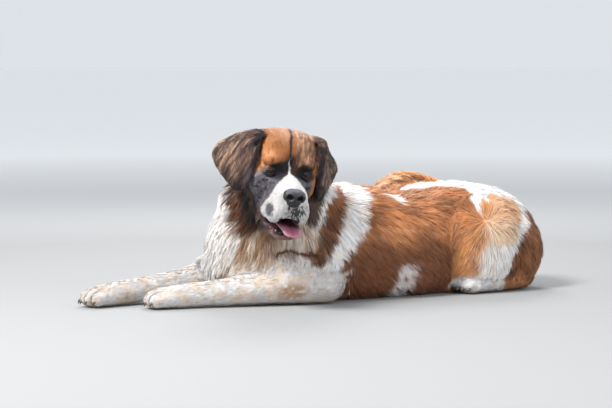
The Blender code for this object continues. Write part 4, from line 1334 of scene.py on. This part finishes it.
def walk(roots, faces, length, height, rng):
    """Places of the sections of each tuft, over the skin along the lie of the coat."""
    rows = len(roots)
    turn = rng.normal(0.0, 0.11, rows)
    path = np.empty((rows, SECTIONS, 3))
    path[:, 0] = roots - soft_face_normal[faces] * 0.0006
    here = roots
    now = faces
    rise = (0.0, 0.55, 0.88, 1.0)
    stretch = (0.0, 0.34, 0.36, 0.30)
    for k in range(1, SECTIONS):
        ahead = face_lie[now]
        side = np.cross(soft_face_normal[now], ahead)
        ahead = ahead * np.cos(turn)[:, None] + side * np.sin(turn)[:, None]
        goal = here + ahead * (length * stretch[k])[:, None]
        found = [tree.find_nearest(point) for point in goal.tolist()]
        here = np.array([hit[0] for hit in found])
        now = np.array([hit[2] for hit in found])
        path[:, k] = here + soft_face_normal[now] * (height * rise[k])[:, None]
    return path


def gather(path, roots, size, pull, rng):
    """Draw the tufts of a lock together towards its middle one."""
    rows = len(roots)
    count = max(1, int(rows / size))
    middle = rng.choice(rows, count, replace=False)
    finder = KDTree(count)
    for index, row in enumerate(middle):
        finder.insert(roots[row], index)
    finder.balance()
    lock = np.array([finder.find(point)[1] for point in roots.tolist()])
    target = path[middle][lock]
    share = (0.0, 0.25, 0.70, 1.0)
    for k in range(1, SECTIONS):
        part = (pull * share[k])[:, None]
        path[:, k] = path[:, k] * (1.0 - part) + target[:, k] * part
    return lock, count


def make_coat(name, faces, seed, scale=1.0, lock_size=22.0, pull=0.5):
    """One coat piece over some triangles of the skin."""
    rng = np.random.default_rng(seed)
    under = (face_normal[faces, 2] < -0.5 * 2.0 * face_area[faces]) & (face_middle[faces, 2] < 0.05)
    wanted = face_area[faces] * face_shape[faces, 3] * 10000.0 * scale
    wanted = wanted * (face_bare[faces] < 0.3) * np.where(under, 0.15, 1.0) * ~face_under_nose[faces]
    total = wanted.sum()
    count = int(min(total, TUFT_LIMIT))
    running = np.cumsum(wanted) / total * count
    pick = np.searchsorted(running, np.arange(count) + rng.random(count))
    pick = np.minimum(pick, len(faces) - 1)
    own = faces[pick]
    share = rng.random((count, 2))
    fold = share.sum(axis=1) > 1.0
    share[fold] = 1.0 - share[fold]
    weights = np.column_stack([1.0 - share.sum(axis=1), share])
    corners = skin_points[skin_triangles[own]]
    roots = (corners * weights[:, :, None]).sum(axis=1)
    normal = soft_face_normal[own]
    shape = face_shape[own]
    length = shape[:, 1] * rng.uniform(0.70, 1.20, count)
    height = shape[:, 0] * rng.uniform(0.30, 1.00, count)
    path = walk(roots, own, length, height, rng)
    lock, locks = gather(path, roots, lock_size, pull * rng.uniform(0.5, 1.0, count), rng)

    lean = rng.normal(0.0, 1.0, (locks, 3))
    drift = lean[lock] * (shape[:, 1] * 0.050)[:, None]
    drift += rng.normal(0.0, 1.0, (count, 3)) * (shape[:, 1] * 0.020)[:, None]
    for k, part in enumerate((0.0, 0.15, 0.5, 1.0)):
        path[:, k] += drift * part

    run = np.empty_like(path)
    run[:, 0] = path[:, 1] - path[:, 0]
    run[:, 1] = path[:, 2] - path[:, 0]
    run[:, 2] = path[:, 3] - path[:, 1]
    run[:, 3] = path[:, 3] - path[:, 2]
    roll = rng.normal(0.0, 0.42, count)
    half = shape[:, 2] * rng.uniform(0.75, 1.25, count)
    verts = np.empty((count, 2 * SECTIONS - 1, 3))
    widths = (0.85, 1.0, 0.72, 0.0)
    for k in range(SECTIONS):
        along = unit(run[:, k])
        wide = unit(np.cross(along, normal))
        upward = np.cross(wide, along)
        wide = wide * np.cos(roll)[:, None] + upward * np.sin(roll)[:, None]
        if k < SECTIONS - 1:
            verts[:, 2 * k] = path[:, k] - wide * (half * widths[k])[:, None]
            verts[:, 2 * k + 1] = path[:, k] + wide * (half * widths[k])[:, None]
        else:
            verts[:, 2 * k] = path[:, k]
    verts[:, :, 2] = np.maximum(verts[:, :, 2], 0.0006)

    pattern = np.array([(0, 1, 3), (0, 3, 2), (2, 3, 5), (2, 5, 4), (4, 5, 6)])
    per = 2 * SECTIONS - 1
    triangles = pattern[None] + (np.arange(count) * per)[:, None, None]
    mesh = bpy.data.meshes.new(name)
    mesh.vertices.add(count * per)
    mesh.vertices.foreach_set("co", verts.ravel())
    mesh.loops.add(count * 15)
    mesh.loops.foreach_set("vertex_index", triangles.ravel())
    mesh.polygons.add(count * 5)
    mesh.polygons.foreach_set("loop_start", np.arange(count * 5) * 3)
    mesh.polygons.foreach_set("loop_total", np.full(count * 5, 3))
    mesh.update()
    piece = bpy.data.objects.new(name, mesh)
    bpy.context.scene.collection.objects.link(piece)
    mesh.polygons.foreach_set("use_smooth", np.ones(count * 5, dtype=bool))

    facing = np.empty_like(verts)
    for k in range(SECTIONS):
        along = unit(run[:, k])
        outward = unit(normal - along * np.sum(normal * along, axis=1)[:, None])
        side = np.cross(along, outward)
        turned = outward * np.cos(roll)[:, None] - side * np.sin(roll)[:, None]
        facing[:, 2 * k] = normal * SKIN_SHARE + turned * (1.0 - SKIN_SHARE)
        if k < SECTIONS - 1:
            facing[:, 2 * k + 1] = facing[:, 2 * k]
    mesh.normals_split_custom_set_from_vertices(unit(facing.reshape(-1, 3)))

    part = face_part[own]
    seen = roots * 0.20 + path[:, 1] * 0.15 + path[:, 2] * 0.35 + path[:, 3] * 0.30
    colour = marks(seen, normal, part)
    tone = rng.uniform(0.90, 1.10, count) * rng.uniform(0.90, 1.10, locks)[lock]
    warm = rng.normal(0.0, 0.020, locks)[lock]
    colour = colour * tone[:, None] * np.column_stack([1.0 + warm, np.ones(count), 1.0 - 1.5 * warm])
    # Painted shade: each tuft darker at its root, deep in the coat, and a little lighter towards its tip.
    root_shade_along = (0.88, 0.88, 0.97, 0.97, 1.02, 1.02, 1.06)
    painted = colour[:, None, :] * np.array(root_shade_along)[None, :, None]
    paint(piece, np.clip(painted, 0.0, 0.95).reshape(-1, 3))

    place = root_map(skin_triangles[faces], skin_points)[pick]
    root_uv = (place * weights[:, :, None]).sum(axis=1)
    across = (-0.5, 0.5, -0.5, 0.5, -0.4, 0.4, 0.0)
    upward = (0.0, 0.0, 0.34, 0.34, 0.70, 0.70, 1.0)
    patch = np.array([across, upward]).T * PATCH
    vertex_uv = root_uv[:, None, :] + patch[None] - np.array([0.0, PATCH / 2.0])
    loop_uv = np.clip(vertex_uv[:, pattern.ravel()], 0.0, 1.0)
    layer = mesh.uv_layers.new(name="OFBake")
    layer.data.foreach_set("uv", loop_uv.ravel())
    mesh.materials.append(hair_material)
    print(name, "wanted", int(total), "made", count)
    return piece


def faces_where(*names):
    """Skin triangles whose nearest node is one of the names."""
    wanted = [FLESH.index(name) for name in names]
    return np.isin(face_part, wanted)


left_side = face_middle[:, 0] > MIDDLE_X
regions = {
    "coat_face": faces_where("head", "lower_jaw"),
    "coat_ears": faces_where("ear_left", "ear_right"),
    "coat_neck": faces_where("neck"),
    "coat_chest": faces_where("chest"),
    "coat_forelegs": faces_where("foreleg_left", "foreleg_right", "forepaw_left", "forepaw_right"),
    "coat_flank_left": faces_where("barrel") & left_side,
    "coat_flank_right": faces_where("barrel") & ~left_side,
    "coat_haunch_left": faces_where("rump", "thigh_left", "hind_foot_left") & left_side,
    "coat_haunch_right": faces_where("rump", "thigh_right", "hind_foot_right") & ~left_side,
    "coat_tail": faces_where("tail_root", "tail_end"),
}
LOCK_PULL = {"coat_face": 0.30, "coat_ears": 0.45, "coat_forelegs": 0.35, "coat_flank_left": 0.38, "coat_flank_right": 0.38}
coats = []
for number, (name, chosen) in enumerate(regions.items()):
    coats.append(make_coat(name, np.where(chosen)[0], 100 + number, pull=LOCK_PULL.get(name, 0.5)))


# Eyes, nose, tongue, teeth and claws.


def link_chain(tree, *pairs):
    """Join pairs of an output socket and an input socket."""
    for out, into in pairs:
        tree.links.new(out, into)


def wet_material(name, roughness, coat, pebble, depth, low=0.80, high=1.15):
    """Painted colour with small pebbles or grooves and a moist gloss."""
    material = bpy.data.materials.new(name)
    material.use_nodes = True
    tree = material.node_tree
    shader = tree.nodes["Principled BSDF"]
    shader.inputs["Coat Weight"].default_value = coat
    shader.inputs["Coat Roughness"].default_value = 0.12
    colour = tree.nodes.new("ShaderNodeVertexColor")
    colour.layer_name = "Coat"
    place = tree.nodes.new("ShaderNodeTexCoord")
    cells = node_of(tree, "ShaderNodeTexVoronoi", Scale=1.0 / pebble)
    cloud = node_of(tree, "ShaderNodeTexNoise", Scale=0.25 / pebble, Detail=3.0)
    tone = node_of(tree, "ShaderNodeMapRange", To_Min=low, To_Max=high)
    both = tree.nodes.new("ShaderNodeMix")
    both.data_type = "RGBA"
    both.blend_type = "MULTIPLY"
    both.inputs["Factor"].default_value = 1.0
    gloss = node_of(tree, "ShaderNodeMapRange", To_Min=roughness - 0.08, To_Max=roughness + 0.12)
    bump = node_of(tree, "ShaderNodeBump", Strength=0.6, Distance=depth)
    link_chain(
        tree,
        (place.outputs["Object"], cells.inputs["Vector"]),
        (place.outputs["Object"], cloud.inputs["Vector"]),
        (cloud.outputs["Fac"], tone.inputs["Value"]),
        (colour.outputs["Color"], both.inputs["A"]),
        (tone.outputs["Result"], both.inputs["B"]),
        (both.outputs["Result"], shader.inputs["Base Color"]),
        (cloud.outputs["Fac"], gloss.inputs["Value"]),
        (gloss.outputs["Result"], shader.inputs["Roughness"]),
        (cells.outputs["Distance"], bump.inputs["Height"]),
        (bump.outputs["Normal"], shader.inputs["Normal"]),
    )
    return material


def eye_material():
    """Dark rim, amber-brown iris with fine rays and a black pupil, round the globe's pole."""
    material = bpy.data.materials.new("eye_glass")
    material.use_nodes = True
    tree = material.node_tree
    shader = tree.nodes["Principled BSDF"]
    shader.inputs["Roughness"].default_value = 0.22
    shader.inputs["Specular IOR Level"].default_value = 0.25
    shader.inputs["Coat Weight"].default_value = 0.7
    shader.inputs["Coat IOR"].default_value = 1.34
    shader.inputs["Coat Roughness"].default_value = 0.02
    place = tree.nodes.new("ShaderNodeTexCoord")
    split = tree.nodes.new("ShaderNodeSeparateXYZ")
    ring = tree.nodes.new("ShaderNodeValToRGB")
    stops = (
        (0.00, srgb(90, 72, 64)),
        (0.70, srgb(64, 46, 40)),
        (0.765, srgb(16, 12, 11)),
        (0.800, srgb(34, 21, 13)),
        (0.850, srgb(62, 38, 22)),
        (0.880, srgb(48, 29, 16)),
        (0.905, srgb(8, 6, 6)),
        (1.00, srgb(5, 4, 4)),
    )
    ramp = ring.color_ramp
    while len(ramp.elements) < len(stops):
        ramp.elements.new(0.5)
    for element, (at, colour) in zip(ramp.elements, stops):
        element.position = at
        element.color = (*colour, 1.0)
    stretch = tree.nodes.new("ShaderNodeMapping")
    stretch.inputs["Scale"].default_value = (46.0, 7.0, 1.0)
    fibre = node_of(tree, "ShaderNodeTexNoise", Scale=1.0, Detail=4.0)
    tone = node_of(tree, "ShaderNodeMapRange", From_Min=0.3, From_Max=0.7, To_Min=0.62, To_Max=1.35)
    both = tree.nodes.new("ShaderNodeMix")
    both.data_type = "RGBA"
    both.blend_type = "MULTIPLY"
    both.inputs["Factor"].default_value = 1.0
    link_chain(
        tree,
        (place.outputs["UV"], split.inputs["Vector"]),
        (split.outputs["Y"], ring.inputs["Fac"]),
        (place.outputs["UV"], stretch.inputs["Vector"]),
        (stretch.outputs["Vector"], fibre.inputs["Vector"]),
        (fibre.outputs["Fac"], tone.inputs["Value"]),
        (ring.outputs["Color"], both.inputs["A"]),
        (tone.outputs["Result"], both.inputs["B"]),
        (both.outputs["Result"], shader.inputs["Base Color"]),
    )
    return material


GAZE_AT = Vector((5.2, -3.9, 0.45))
CORNEA_EDGE = 40.0
CORNEA_BULGE = 0.0010


def make_eye(name, side, material):
    """A globe with a raised cornea, turned to look ahead."""
    globe = ball(name, (0, 0, 0), (EYE_RADIUS,) * 3, segments=64, rings=60)
    points = points_of(globe)
    angle = np.degrees(np.arccos(np.clip(points[:, 2] / EYE_RADIUS, -1.0, 1.0)))
    lift = CORNEA_BULGE * np.clip(1.0 - (angle / CORNEA_EDGE) ** 2, 0.0, 1.0) ** 1.5
    set_points(globe, points * (1.0 + lift / EYE_RADIUS)[:, None])
    centre = HEAD @ Vector(eye_centre(side))
    turn = (GAZE_AT - centre).to_track_quat("Z", "Y").to_matrix().to_4x4()
    globe.data.transform(Matrix.Translation(centre) @ turn)
    return finish_piece(globe, material)


def finish_piece(thing, material):
    """Smooth shading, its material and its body."""
    thing.data.materials.clear()
    thing.data.materials.append(material)
    work_on(thing)
    bpy.ops.object.shade_smooth()
    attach(thing, "root")
    return thing


NOSTRIL = (0.0132, -0.0455)


NOSE_GROWTH = 1.06
NOSE_CENTRE_Z = -0.046


def make_nose():
    """Nose leather with comma nostrils, their wings and the groove below."""
    shapes = [
        ball("nose", (0, -0.117, -0.039), (0.0295, 0.021, 0.0165)),
        ball("nose", (0, -0.120, -0.053), (0.0205, 0.0165, 0.0195)),
    ]
    for side in (-1, 1):
        shapes.append(ball("nose", (side * 0.0212, -0.1210, -0.0440), (0.0088, 0.0140, 0.0125)))
    nose = melt(join("nose_leather", shapes), 0.00125, 5)
    points = points_of(nose)
    x, y, z = points.T
    front = steps(-0.112, -0.122, y)
    away_x = np.abs(x) - NOSTRIL[0]
    away_z = z - NOSTRIL[1]
    hole = np.hypot(away_x / 0.0088, (away_z - 0.15 * away_x) / 0.0074)
    pit = steps(1.15, 0.35, hole)
    slit_z = -0.0490 - 0.10 * (np.abs(x) - 0.018)
    slit = np.exp(-(((z - slit_z) / 0.0022) ** 2)) * steps(0.012, 0.018, np.abs(x)) * steps(0.033, 0.026, np.abs(x))
    rim = np.exp(-(((hole - 1.35) / 0.30) ** 2))
    groove_x = np.exp(-((x / 0.0016) ** 2)) * steps(-0.044, -0.052, z) * front
    top = np.exp(-((x / 0.0060) ** 2)) * steps(-0.040, -0.030, z)
    points[:, 1] += front * (0.0090 * pit - 0.0012 * rim) + 0.0034 * slit + 0.0024 * groove_x
    points[:, 2] -= 0.0012 * top
    set_points(nose, points)
    turned = normals_of(nose)
    # Painted highlight: the upward-facing top of the nose leather made lighter grey.
    light = steps(0.45, 0.98, turned[:, 2])
    colour = mix(plain_rows(srgb(24, 22, 26), points), srgb(104, 102, 116), 0.85 * light)
    # Painted shade: the nostril pits and the slits beside them made near-black.
    colour = mix(colour, srgb(8, 7, 8), np.clip(pit * front * 1.2 + 0.7 * slit * (light < 0.5), 0.0, 1.0))
    paint(nose, colour)
    points[:, 0] *= NOSE_GROWTH
    points[:, 2] = NOSE_CENTRE_Z + (points[:, 2] - NOSE_CENTRE_Z) * NOSE_GROWTH
    set_points(nose, points)
    nose.data.transform(HEAD)
    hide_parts("nose")
    return finish_piece(nose, wet_material("nose_leather", 0.46, 0.16, 0.0014, 0.0009))


def make_tongue():
    """Tongue with a middle groove, thin edges and a drooping tip."""
    stations = [
        ((0.006, 0.020, -0.131), 0.030, 0.0060),
        ((0.008, -0.040, -0.136), 0.031, 0.0060),
        ((0.014, -0.078, -0.141), 0.0305, 0.0058),
        ((0.018, -0.099, -0.153), 0.0255, 0.0050),
    ]
    tongue = loft("tongue_muscle", stations, sides=40, between=10, power=2.3, caps=(0.006, 0.012))
    melt(tongue, 0.0019, 2)
    points = points_of(tongue)
    x, y, z = points.T
    middle = np.interp(-y, (-0.020, 0.040, 0.078, 0.102), (0.006, 0.008, 0.014, 0.020))
    away = x - middle
    upper = steps(0.0, 0.6, normals_of(tongue)[:, 2])
    groove_z = 0.0026 * np.exp(-((away / 0.0042) ** 2)) - 0.0012 * steps(0.018, 0.027, np.abs(away))
    points[:, 2] -= upper * groove_z
    points[:, 2] += 0.0007 * np.sin(away * 520.0) * steps(-0.085, -0.110, y)
    set_points(tongue, points)
    edge = steps(0.014, 0.027, np.abs(away) + 0.5 * np.maximum(-y - 0.098, 0.0))
    colour = mix(plain_rows(srgb(158, 94, 112), points), srgb(192, 136, 150), 0.65 * edge)
    colour = mix(colour, srgb(112, 58, 78), 0.85 * steps(-0.086, -0.050, y))
    colour = mix(colour, srgb(150, 84, 106), 0.6 * np.exp(-((away / 0.005) ** 2)))
    paint(tongue, colour)
    tongue.data.transform(HEAD)
    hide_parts("tongue")
    return finish_piece(tongue, wet_material("tongue_flesh", 0.34, 0.45, 0.0011, 0.00025, 0.9, 1.1))


# Lower teeth: place of the root in the head's axes, half width and height.
TEETH = [
    ((-0.0255, -0.0760, -0.1545), 0.0022, 0.0070),
    ((0.0330, -0.0730, -0.1545), 0.0022, 0.0070),
    ((-0.0160, -0.0870, -0.1545), 0.0014, 0.0024),
    ((-0.0105, -0.0890, -0.1545), 0.0014, 0.0022),
    ((-0.0050, -0.0895, -0.1545), 0.0013, 0.0022),
    ((0.0005, -0.0895, -0.1545), 0.0013, 0.0022),
    ((0.0060, -0.0890, -0.1545), 0.0014, 0.0022),
    ((-0.0320, -0.0600, -0.1525), 0.0016, 0.0024),
    ((-0.0355, -0.0470, -0.1505), 0.0020, 0.0028),
]


def make_teeth():
    """Lower teeth, each a curved tapering cone."""
    pieces = []
    for (x, y, z), half, tall in TEETH:
        lean = 0.18 * tall * (1.0 if x < 0 else -1.0)
        stations = [
            ((x, y, z), half, half),
            ((x - lean * 0.4, y - 0.05 * tall, z + 0.45 * tall), half * 0.86, half * 0.80),
            ((x - lean * 0.2, y + 0.05 * tall, z + 0.92 * tall), half * 0.30, half * 0.28),
        ]
        pieces.append(upright_loft("tooth", stations))
    teeth = join("teeth", pieces)
    points = points_of(teeth)
    colour = mix(plain_rows(srgb(118, 96, 74), points), srgb(168, 156, 132), steps(-0.156, -0.149, points[:, 2]))
    paint(teeth, colour)
    teeth.data.transform(HEAD)
    return finish_piece(teeth, wet_material("tooth_enamel", 0.24, 0.30, 0.0016, 0.00006, 0.93, 1.05))


def upright_loft(name, stations):
    """A tapering body that rises through its stations."""
    bm = bmesh.new()
    loops = []
    sides = 14
    count = 3 * (len(stations) - 1) + 1
    for k in range(count):
        place = k / 3.0
        centre = smooth_between([Vector(station[0]) for station in stations], place)
        wide = smooth_between([station[1] for station in stations], place)
        deep = smooth_between([station[2] for station in stations], place)
        loop = []
        for i in range(sides):
            turn = 2.0 * math.pi * i / sides
            loop.append(bm.verts.new(centre + Vector((wide * math.cos(turn), deep * math.sin(turn), 0.0))))
        loops.append(loop)
    for low, high in zip(loops, loops[1:]):
        for i in range(sides):
            j = (i + 1) % sides
            bm.faces.new((low[i], low[j], high[j], high[i]))
    bm.faces.new(loops[0][::-1])
    top = bm.verts.new(centre + (centre - Vector(stations[-2][0])) * 0.12)
    for i in range(sides):
        bm.faces.new((loops[-1][i], loops[-1][(i + 1) % sides], top))
    bmesh.ops.recalc_face_normals(bm, faces=bm.faces)
    return object_of(name, bm)


CLAW_LENGTH = 0.0075


def make_claws():
    """Four dark curved claws at the toes of each foot."""
    places = []
    for elbow, toe in ((LEFT_ELBOW, LEFT_TOE), (RIGHT_ELBOW, RIGHT_TOE)):
        along = (toe - elbow).normalized()
        flat = Vector((along.x, along.y, 0.0)).normalized()
        sideways = Vector((-flat.y, flat.x, 0.0))
        for i in range(4):
            shorter = 0.010 * abs(i - 1.5)
            tip = toe + sideways * ((i - 1.5) * 0.026) + flat * (-0.005 - shorter)
            places.append((Vector((tip.x, tip.y, 0.0195)), flat))
    for side in (-1, 1):
        for i in range(4):
            centre = Vector((side * HIND_FOOT_X + (i - 1.5) * 0.021, HIND_TOE_Y + 0.001 + 0.008 * abs(i - 1.5), 0.0175))
            places.append((centre, Vector((0.0, -1.0, 0.0))))
    pieces = []
    for base, flat in places:
        stations = [
            (base - flat * 0.004, 0.0034, 0.0046),
            (base + flat * (0.40 * CLAW_LENGTH) - Vector((0, 0, 0.0012)), 0.0029, 0.0040),
            (base + flat * (0.78 * CLAW_LENGTH) - Vector((0, 0, 0.0050)), 0.0020, 0.0027),
            (base + flat * CLAW_LENGTH * 0.95 - Vector((0, 0, 0.0095)), 0.0009, 0.0011),
        ]
        pieces.append(loft("claw", stations, sides=14, between=4, caps=(0.001, 0.0012)))
    claws = join("claws", pieces)
    claws.data.transform(Matrix.Translation(TO_BOX_MIDDLE))
    points = points_of(claws)
    points[:, 2] = np.maximum(points[:, 2], 0.0008)
    set_points(claws, points)
    colour = mix(plain_rows(srgb(112, 98, 84), points), srgb(52, 44, 42), steps(0.020, 0.009, points[:, 2]))
    paint(claws, colour)
    return finish_piece(claws, wet_material("claw_horn", 0.40, 0.15, 0.0030, 0.00015, 0.82, 1.12))


eyes = eye_material()
for name, side in (("eye_left", 1), ("eye_right", -1)):
    globe = make_eye(name + "_globe", side, eyes)
    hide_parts(name)
make_nose()
make_tongue()
make_teeth()
make_claws()

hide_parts(*FLESH)
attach(skin, "root")
for piece in coats:
    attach(piece, "root")

# Floor, lights and camera.

bpy.ops.object.select_all(action="DESELECT")
bpy.ops.mesh.primitive_plane_add(size=400.0, location=(0, 0, 0))
floor = bpy.context.object
floor.name = "floor"
floor_paint = bpy.data.materials.new("floor_paint")
floor_paint.use_nodes = True
floor_shader = floor_paint.node_tree.nodes["Principled BSDF"]
floor_shader.inputs["Roughness"].default_value = 0.85
floor_place = floor_paint.node_tree.nodes.new("ShaderNodeTexCoord")
floor_away = floor_paint.node_tree.nodes.new("ShaderNodeVectorMath")
floor_away.operation = "LENGTH"
floor_tone = node_of(floor_paint.node_tree, "ShaderNodeMapRange", From_Min=2.2, From_Max=10.0, To_Min=0.33, To_Max=0.98)
link_chain(
    floor_paint.node_tree,
    (floor_place.outputs["Object"], floor_away.inputs[0]),
    (floor_away.outputs["Value"], floor_tone.inputs["Value"]),
    (floor_tone.outputs["Result"], floor_shader.inputs["Base Color"]),
)
floor.data.materials.append(floor_paint)

world = bpy.context.scene.world or bpy.data.worlds.new("studio")
bpy.context.scene.world = world
world.use_nodes = True
world.node_tree.nodes["Background"].inputs["Color"].default_value = (0.86, 0.90, 0.95, 1.0)
world.node_tree.nodes["Background"].inputs["Strength"].default_value = 0.85
bpy.context.scene.view_settings.view_transform = "Standard"


def softbox(name, place, target, size, power):
    """A square area light aimed at a point."""
    light = bpy.data.lights.new(name, "AREA")
    light.size = size
    light.energy = power
    lamp = bpy.data.objects.new(name, light)
    bpy.context.scene.collection.objects.link(lamp)
    lamp.location = place
    lamp.rotation_euler = (Vector(target) - Vector(place)).to_track_quat("-Z", "Y").to_euler()


softbox("key", (0.6, -3.2, 4.2), (0, 0, 0.2), 1.5, 350.0)
softbox("fill", (4.2, 0.8, 1.8), (0, 0, 0.2), 2.5, 60.0)
softbox("back", (-2.6, 1.6, 2.8), (0, 0, 0.2), 1.5, 75.0)

CAMERA_PLACE = (5.3576, -3.5962, 0.69)
CAMERA_DOWN = math.radians(3.6599)
CAMERA_TURN = math.radians(57.0)
CAMERA_LENS = 130.588
camera_data = bpy.data.cameras.new("photo_view")
camera_data.lens = CAMERA_LENS
camera = bpy.data.objects.new("photo_view", camera_data)
bpy.context.scene.collection.objects.link(camera)
camera.location = CAMERA_PLACE
camera.rotation_euler = (math.pi / 2.0 - CAMERA_DOWN, 0.0, CAMERA_TURN)
bpy.context.scene.camera = camera
